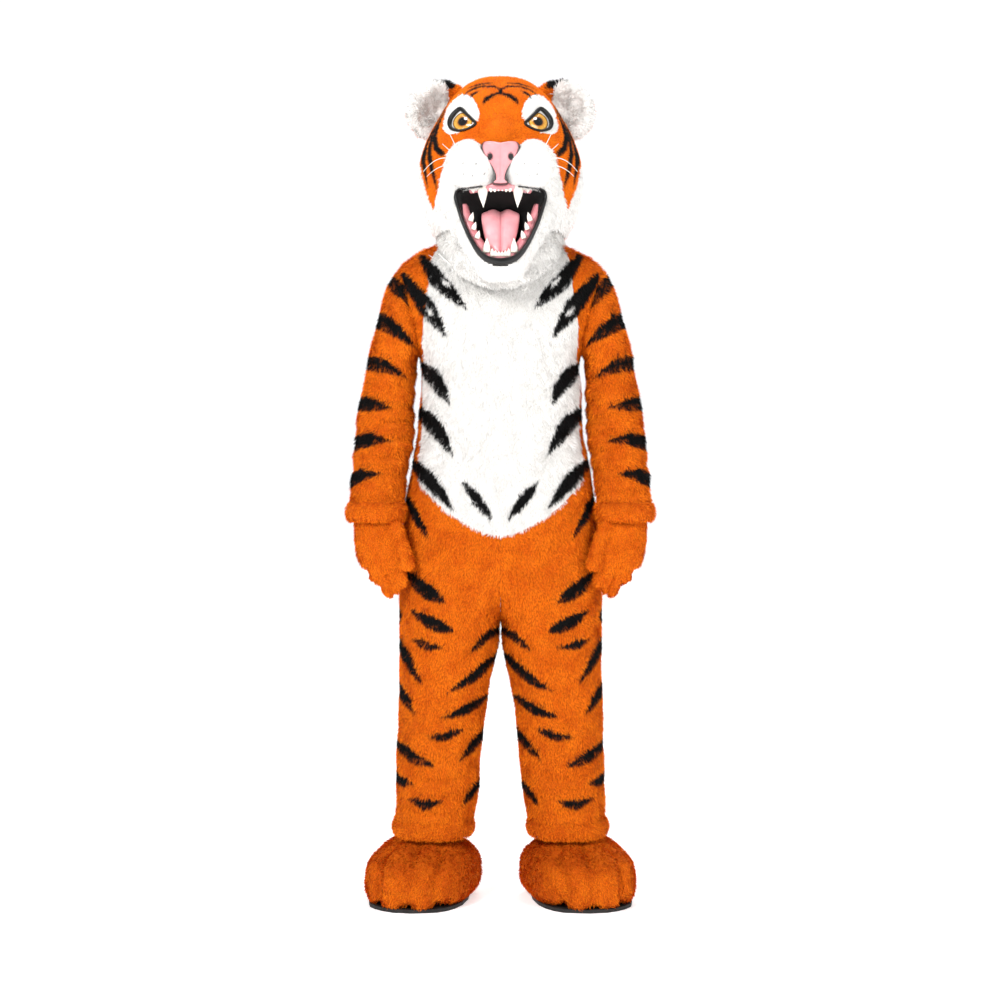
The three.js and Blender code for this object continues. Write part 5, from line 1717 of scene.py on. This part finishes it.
# tongue: two soft lobes with a groove, rounded over at the back
tongueRows = [
    {"z": 0.0, "up": 1566, "y": -122, "half": 26},
    {"z": 0.14, "up": 1577, "y": -140, "half": 39},
    {"z": 0.3, "up": 1570, "y": -160, "half": 43},
    {"z": 0.5, "up": 1545, "y": -178, "half": 41},
    {"z": 0.72, "up": 1512, "y": -190, "half": 34},
    {"z": 0.88, "up": 1492, "y": -199, "half": 27},
    {"z": 1.0, "up": 1479, "y": -203, "half": 14},
]
rows = []
for t in np.linspace(0, 1, 44):
    halfWidth = float(column(tongueRows, "half", t))
    u = np.sin(np.linspace(-math.pi / 2, math.pi / 2, 41))
    lobes = 13 * np.sqrt(np.clip(1 - u ** 2, 0, 1)) - 7 * np.exp(-(u / 0.16) ** 2) * min(1, t * 4)
    lift = 5 * np.exp(-((np.abs(u) - 0.45) / 0.3) ** 2) * math.exp(-((t - 0.15) / 0.12) ** 2)
    rows.append(np.stack([halfWidth * u, float(column(tongueRows, "y", t)) - lobes * 0.8,
                          float(column(tongueRows, "up", t)) + lobes * 0.35 + lift], 1))
grid = np.stack(rows)
solidPoints, solidQuads = sheetSolid(grid, 7)
groove = np.exp(-(solidPoints[:, 0] / 2.2) ** 2) * 0.75
tongue = newPiece("tongue", solidPoints, solidQuads, madeOf["pinkTongue"])
addValues(tongue.data, "paint", groove)
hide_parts("tongue")


def toothForm(root, tip, radius, flat=0.75, blunt=0.25, sides=16):
    # a smooth tooth from its root to its tip, slightly bulging above the gum
    root, tip = np.array(root, float), np.array(tip, float)
    axis = unit(tip - root)
    across = unit(np.cross(axis, [0.0, 1.0, 0.0]))
    deep = np.cross(axis, across)
    turn = np.arange(sides) / sides * 2 * math.pi
    rings, share = [], []
    for t in np.linspace(0, 1, 14):
        size = radius * (1 + 0.16 * math.sin(t * math.pi)) * max(1 - t ** (1.3 + 2 * blunt), 0.02)
        middle = root + (tip - root) * t
        rings.append(middle + across * (np.cos(turn) * size)[:, None]
                     + deep * (np.sin(turn) * size * flat)[:, None])
        share += [t] * sides
    points = np.concatenate(rings + [tip[None]])
    faces = [tuple(face) for face in gridFaces(14, sides, closed=True)]
    last = 13 * sides
    faces += [(last + k, last + (k + 1) % sides, len(points) - 1) for k in range(sides)]
    faces.append(tuple(range(sides))[::-1])
    return points, faces, share + [1.0]


def toothPiece(name, teeth):
    points, faces, share = [], [], []
    for tooth in teeth:
        found, walls, run = toothForm(**tooth)
        offset = len(points)
        faces += [tuple(int(v) + offset for v in face) for face in walls]
        points += found.tolist()
        share += run
    placed = np.array(points) * mm
    placed[:, 2] += floorZ
    mesh = bpy.data.meshes.new(name)
    mesh.from_pydata(placed.tolist(), [], faces)
    mesh.polygons.foreach_set("use_smooth", np.ones(len(mesh.polygons), bool))
    cleaner = bmesh.new()
    cleaner.from_mesh(mesh)
    bmesh.ops.recalc_face_normals(cleaner, faces=cleaner.faces)
    cleaner.to_mesh(mesh)
    cleaner.free()
    mesh.materials.append(madeOf["ivoryTooth"])
    piece = bpy.data.objects.new(name, mesh)
    bpy.context.collection.objects.link(piece)
    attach(piece, "root")
    addValues(mesh, "paint", np.clip(1 - np.array(share) * 3.5, 0, 1) * 0.7)
    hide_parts(name)


for side, tag in ((1, "l"), (-1, "r")):
    toothPiece("fang_" + tag, [{"root": (side * 40, -221, 1628), "tip": (side * 38, -226, 1578),
                                "radius": 11.5, "blunt": 0.1}])
    toothPiece("lower_fang_" + tag, [{"root": (side * 31, -216, 1480), "tip": (side * 30, -222, 1512),
                                      "radius": 8.5, "blunt": 0.15}])
    toothPiece("side_teeth_" + tag, [
        {"root": (side * 67, -214, 1550), "tip": (side * 61, -216, 1570), "radius": 5.6, "blunt": 0.35},
        {"root": (side * 61, -214, 1531), "tip": (side * 55, -216, 1548), "radius": 5.4, "blunt": 0.4},
        {"root": (side * 53, -215, 1511), "tip": (side * 47, -217, 1529), "radius": 5.8, "blunt": 0.35},
        {"root": (side * 62, -216, 1626), "tip": (side * 60, -220, 1611), "radius": 5, "blunt": 0.5},
    ])
toothPiece("upper_teeth", [{"root": (x, -226, 1624), "tip": (x, -229, 1612 + 2 * (abs(x) < 6)), "radius": 4.6,
                            "blunt": 0.8} for x in (-21, -12.6, -4.2, 4.2, 12.6, 21)])
toothPiece("lower_teeth", [{"root": (x, -218, 1471), "tip": (x, -221, 1482 + 0.02 * x * x), "radius": 4.2,
                            "blunt": 0.8} for x in (-18.5, -11, -3.7, 3.7, 11, 18.5)])

# nose: a puffed pad with two nostrils and a dark edge
nose = {
    "edge": [(0, 1715), (22, 1718), (38, 1716), (43, 1706), (40, 1693), (30, 1677), (18, 1661), (11, 1646),
             (11, 1635), (17, 1628), (0, 1626)],
    "nostril": (23, 1684),
}
edgeLine = evenLine(softOutline(mirroredOutline(nose["edge"])), 96, closed=True)
spine = np.stack([np.zeros(96), np.clip(edgeLine[:, 1], 1640, 1704)], 1)
rings, share = [], []
for t in np.linspace(0, 1, 22):
    flat = spine + (edgeLine - spine) * t
    puff = np.sqrt(np.clip(1 - t ** 2.6, 0, 1))
    top = np.clip((flat[:, 1] - 1640) / 70, 0, 1)
    y = -(250 + 14 * top + (10 + 12 * top) * puff)
    aside = (np.abs(flat[:, 0]) - nose["nostril"][0]) / 7
    above = (flat[:, 1] - nose["nostril"][1]) / 8
    dent = np.exp(-(aside ** 2 + above ** 2))
    crease = np.exp(-(flat[:, 0] / 1.6) ** 2)
    rings.append(np.stack([flat[:, 0], y + 6 * dent + 1.6 * crease, flat[:, 1]], 1))
    share.append(np.full(96, t))
rings.append(rings[-1] + [0, 26, 0])
share.append(np.full(96, 1.0))
points = np.concatenate(rings)
share = np.concatenate(share)
gap = np.hypot((np.abs(points[:, 0]) - nose["nostril"][0]) / 7.2, (points[:, 2] - nose["nostril"][1]) / 8.4)
painted = np.maximum(np.clip((1 - gap) * 5, 0, 1), np.clip((share - 0.88) * 24, 0, 1))
facePiece("nose", points, gridFaces(len(rings), 96, closed=True), madeOf["pinkNose"], ["nose"], "nose",
          painted)
showTime("mouth and nose made")

# eyes: a domed pad with iris, pupil and a painted highlight, inside a black felt rim


def eyeMaterialOf():
    material, nodes, links, shader = principled("paintedEye")
    place = nodes.new("ShaderNodeAttribute")
    place.attribute_name = "iris"
    ramp = nodes.new("ShaderNodeValToRGB")
    links.new(place.outputs["Fac"], ramp.inputs["Fac"])
    stops = [(0.0, (0.003, 0.003, 0.003, 1)), (0.215, (0.003, 0.003, 0.003, 1)),
             (0.24, (0.22, 0.07, 0.01, 1)),
             (0.30, (0.62, 0.27, 0.03, 1)), (0.42, (0.80, 0.42, 0.06, 1)), (0.475, (0.35, 0.14, 0.02, 1)),
             (0.50, (0.02, 0.012, 0.008, 1)), (0.53, (0.86, 0.84, 0.80, 1)), (1.0, (0.92, 0.91, 0.88, 1))]
    while len(ramp.color_ramp.elements) < len(stops):
        ramp.color_ramp.elements.new(0.5)
    for element, (at, colour) in zip(ramp.color_ramp.elements, stops):
        element.position = at
        element.color = colour
    rays = nodes.new("ShaderNodeTexNoise")
    rays.inputs["Scale"].default_value = 260.0
    coordinates = nodes.new("ShaderNodeTexCoord")
    links.new(coordinates.outputs["Object"], rays.inputs["Vector"])
    shade = rangeOf(nodes, links, rays.outputs["Fac"], 0.3, 0.7, 0.8, 1.12)
    tint = nodes.new("ShaderNodeCombineColor")
    for channel in ("Red", "Green", "Blue"):
        links.new(shade, tint.inputs[channel])
    coloured = mixColours(nodes, links, 1.0, ramp.outputs["Color"], tint.outputs["Color"], "MULTIPLY")
    # painted highlight: where the paint attribute is set, the eye's colour turns white
    shine = nodes.new("ShaderNodeAttribute")
    shine.attribute_name = "paint"
    links.new(mixColours(nodes, links, shine.outputs["Fac"], coloured, (0.97, 0.97, 0.97, 1)),
              shader.inputs["Base Color"])
    links.new(rangeOf(nodes, links, rays.outputs["Fac"], 0.3, 0.7, 0.12, 0.2), shader.inputs["Roughness"])
    shader.inputs["Coat Weight"].default_value = 0.4
    shader.inputs["Coat Roughness"].default_value = 0.05
    return material


eyeMaterial = eyeMaterialOf()
iris = {"x": 85, "z": 1779, "radius": 22, "highlight": (77, 1786), "highlightRadius": 4.4}
for side, tag in ((1, "l"), (-1, "r")):
    outline = evenLine(eyeLine, 80, closed=True)
    middle = outline.mean(0)
    rimY = np.array([frontOf(side * x, z) for x, z in outline])
    for _ in range(12):
        rimY = (np.roll(rimY, 1) + 2 * rimY + np.roll(rimY, -1)) / 4
    middleY = rimY.mean()
    rings, share = [], []
    for t in np.linspace(0.03, 1, 26):
        flat = middle + (outline - middle) * t
        y = middleY + (rimY - middleY) * t - 1.5 - 8 * (1 - t ** 2)
        rings.append(np.stack([side * flat[:, 0], y, flat[:, 1]], 1))
    rings.append(rings[-1] + [0, 8, 0])
    points = np.concatenate(rings)
    eyeBall = newPiece("eye_" + tag, points, tubeFaces(len(rings), 80, side > 0), eyeMaterial)
    if normalsOf(points, tubeFaces(len(rings), 80, side > 0))[:, 1].sum() > 0:
        eyeBall.data.flip_normals()
    far = np.hypot(np.abs(points[:, 0]) - iris["x"], points[:, 2] - iris["z"]) / iris["radius"] * 0.5
    addValues(eyeBall.data, "iris", np.clip(far, 0, 1))
    # painted highlight: a white glint painted into the eye, a little above the middle of the iris and towards
    # the nose
    glint = np.hypot(points[:, 0] - (side * iris["x"] - side * 7), points[:, 2] - iris["highlight"][1])
    addValues(eyeBall.data, "paint", np.clip(iris["highlightRadius"] - glint, 0, 1))
    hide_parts("eye_" + tag)
    # the rim is thick over the top and outside, thin below
    away = unit(outline - middle)
    widths = (7.2 + 4.2 * np.clip(away[:, 1] * 0.5 + away[:, 0] * 0.75, 0, 1)
              - 1.6 * np.clip(-away[:, 1], 0, 1))
    place = outline + away * (widths / 2 - 1)[:, None]
    line = np.stack([side * place[:, 0], rimY - 4, place[:, 1]], 1)
    tubePoints, tubeQuads = sweepTube(line, widths, np.full(80, 9.0), closed=True)
    rim = newPiece("eye_rim_" + tag, tubePoints, tubeQuads if side < 0 else tubeQuads[:, ::-1],
                   madeOf["blackLid"])
    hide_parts("eye_rim_" + tag)

# whiskers: thin curved bristles from the muzzle pads
whiskers = [
    {"from": (98, -252, 1708), "over": (106, -266, 1722), "to": (114, -272, 1738)},
    {"from": (108, -246, 1698), "over": (118, -262, 1704), "to": (128, -268, 1712)},
    {"from": (112, -244, 1684), "over": (142, -266, 1688), "to": (170, -270, 1650)},
    {"from": (110, -246, 1668), "over": (136, -266, 1668), "to": (162, -268, 1640)},
]
for side, tag in ((1, "l"), (-1, "r")):
    for number, bristle in enumerate(whiskers, 1):
        start, over, end = (np.array(bristle[key], float) * [side, 1, 1] for key in ("from", "over", "to"))
        t = np.linspace(0, 1, 16)[:, None]
        line = (1 - t) ** 2 * start + 2 * t * (1 - t) * over + t * t * end
        width = 1.9 - 1.1 * t[:, 0]
        tubePoints, tubeQuads = sweepTube(line, width, width, 6)
        facePiece("whisker_" + tag + str(number), tubePoints, tubeQuads, madeOf["whiteWhisker"],
                  ["whisker_" + tag + str(number)], "whisker")
showTime("eyes and whiskers made")

# parts that keep their moulded form

zipMaterial = partMaterial("zipTape", (0.30, 0.075, 0.006, 1), (0.20, 0.045, 0.004, 1), (0.6, 0.8), 90, 1400,
                           0.5)
for nodeName, material in (("back_zip", zipMaterial), ("boot_sole_l", madeOf["blackSole"]),
                           ("boot_sole_r", madeOf["blackSole"])):
    mesh = bpy.data.objects[nodeName].data
    mesh.materials.clear()
    mesh.materials.append(material)
showTime("plain parts finished")

# floor, light and camera

studio = {
    "cameraPlace": (-0.001, -4.3, -0.5575),
    "lens": 65.9,
    "sensor": 36.0,
    "floorSize": 40.0,
    "skyAround": 0.38,  # how much the sky lights the suit
    "skyBehind": 1.08,  # how bright it stands behind it
    "floorGlow": (0.40, 1.0),  # close to the suit and far away
    "glowReach": (1.2, 5.0),
    "lights": [
        {"name": "keyLight", "place": (-2.2, -3.4, 1.9), "size": 1.8, "power": 160},
        {"name": "fillLight", "place": (2.6, -3.2, 1.0), "size": 2.2, "power": 82},
        {"name": "topLight", "place": (0.0, 0.6, 3.0), "size": 2.0, "power": 54},
        {"name": "backLight", "place": (0.6, 3.4, 1.6), "size": 2.2, "power": 70},
    ],
}


def makeStudio():
    material, nodes, links, shader = principled("paleFloor")
    place = nodes.new("ShaderNodeTexCoord")
    noise = nodes.new("ShaderNodeTexNoise")
    noise.inputs["Scale"].default_value = 3.0
    links.new(place.outputs["Object"], noise.inputs["Vector"])
    links.new(mixColours(nodes, links, noise.outputs["Fac"], (0.90, 0.90, 0.90, 1), (0.93, 0.93, 0.93, 1)),
              shader.inputs["Base Color"])
    shader.inputs["Roughness"].default_value = 0.85
    shader.inputs["Specular IOR Level"].default_value = 0.2
    # painted light: the floor glows, dimly close to the suit and fully far away, so it fades into the white
    # backdrop away from the suit
    distance = nodes.new("ShaderNodeVectorMath")
    distance.operation = "LENGTH"
    links.new(place.outputs["Object"], distance.inputs[0])
    near, far = studio["floorGlow"]
    fade = rangeOf(nodes, links, distance.outputs["Value"], *studio["glowReach"])
    links.new(mixColours(nodes, links, fade, (near, near, near, 1), (far, far, far, 1)),
              shader.inputs["Emission Color"])
    shader.inputs["Emission Strength"].default_value = 1.0
    mesh = bpy.data.meshes.new("floor")
    half = studio["floorSize"] / 2
    corners = [(x * half, y * half, floorZ) for x, y in ((-1, -1), (1, -1), (1, 1), (-1, 1))]
    mesh.from_pydata(corners, [], [(0, 1, 2, 3)])
    mesh.materials.append(material)
    floor = bpy.data.objects.new("floor", mesh)
    bpy.context.collection.objects.link(floor)
    world = bpy.data.worlds.new("studioSky")
    world.use_nodes = True
    sky = world.node_tree.nodes["Background"]
    sky.inputs["Color"].default_value = (0.985, 0.985, 1.0, 1)
    rays = world.node_tree.nodes.new("ShaderNodeLightPath")
    strength = rangeOf(world.node_tree.nodes, world.node_tree.links, rays.outputs["Is Camera Ray"], 0, 1,
                       studio["skyAround"], studio["skyBehind"])
    world.node_tree.links.new(strength, sky.inputs["Strength"])
    bpy.context.scene.world = world
    for light in studio["lights"]:
        data = bpy.data.lights.new(light["name"], "AREA")
        data.shape = "DISK"
        data.size = light["size"]
        data.energy = light["power"]
        lamp = bpy.data.objects.new(light["name"], data)
        bpy.context.collection.objects.link(lamp)
        lamp.location = light["place"]
        aim = Vector((0, 0, -0.5)) - Vector(light["place"])
        lamp.rotation_euler = aim.to_track_quat("-Z", "Y").to_euler()
    data = bpy.data.cameras.new("camera")
    data.lens = studio["lens"]
    data.sensor_width = studio["sensor"]
    camera = bpy.data.objects.new("camera", data)
    bpy.context.collection.objects.link(camera)
    camera.location = studio["cameraPlace"]
    camera.rotation_euler = (math.pi / 2, 0, 0)
    bpy.context.scene.camera = camera
    bpy.context.scene.view_settings.view_transform = "Standard"


makeStudio()
showTime("studio ready")
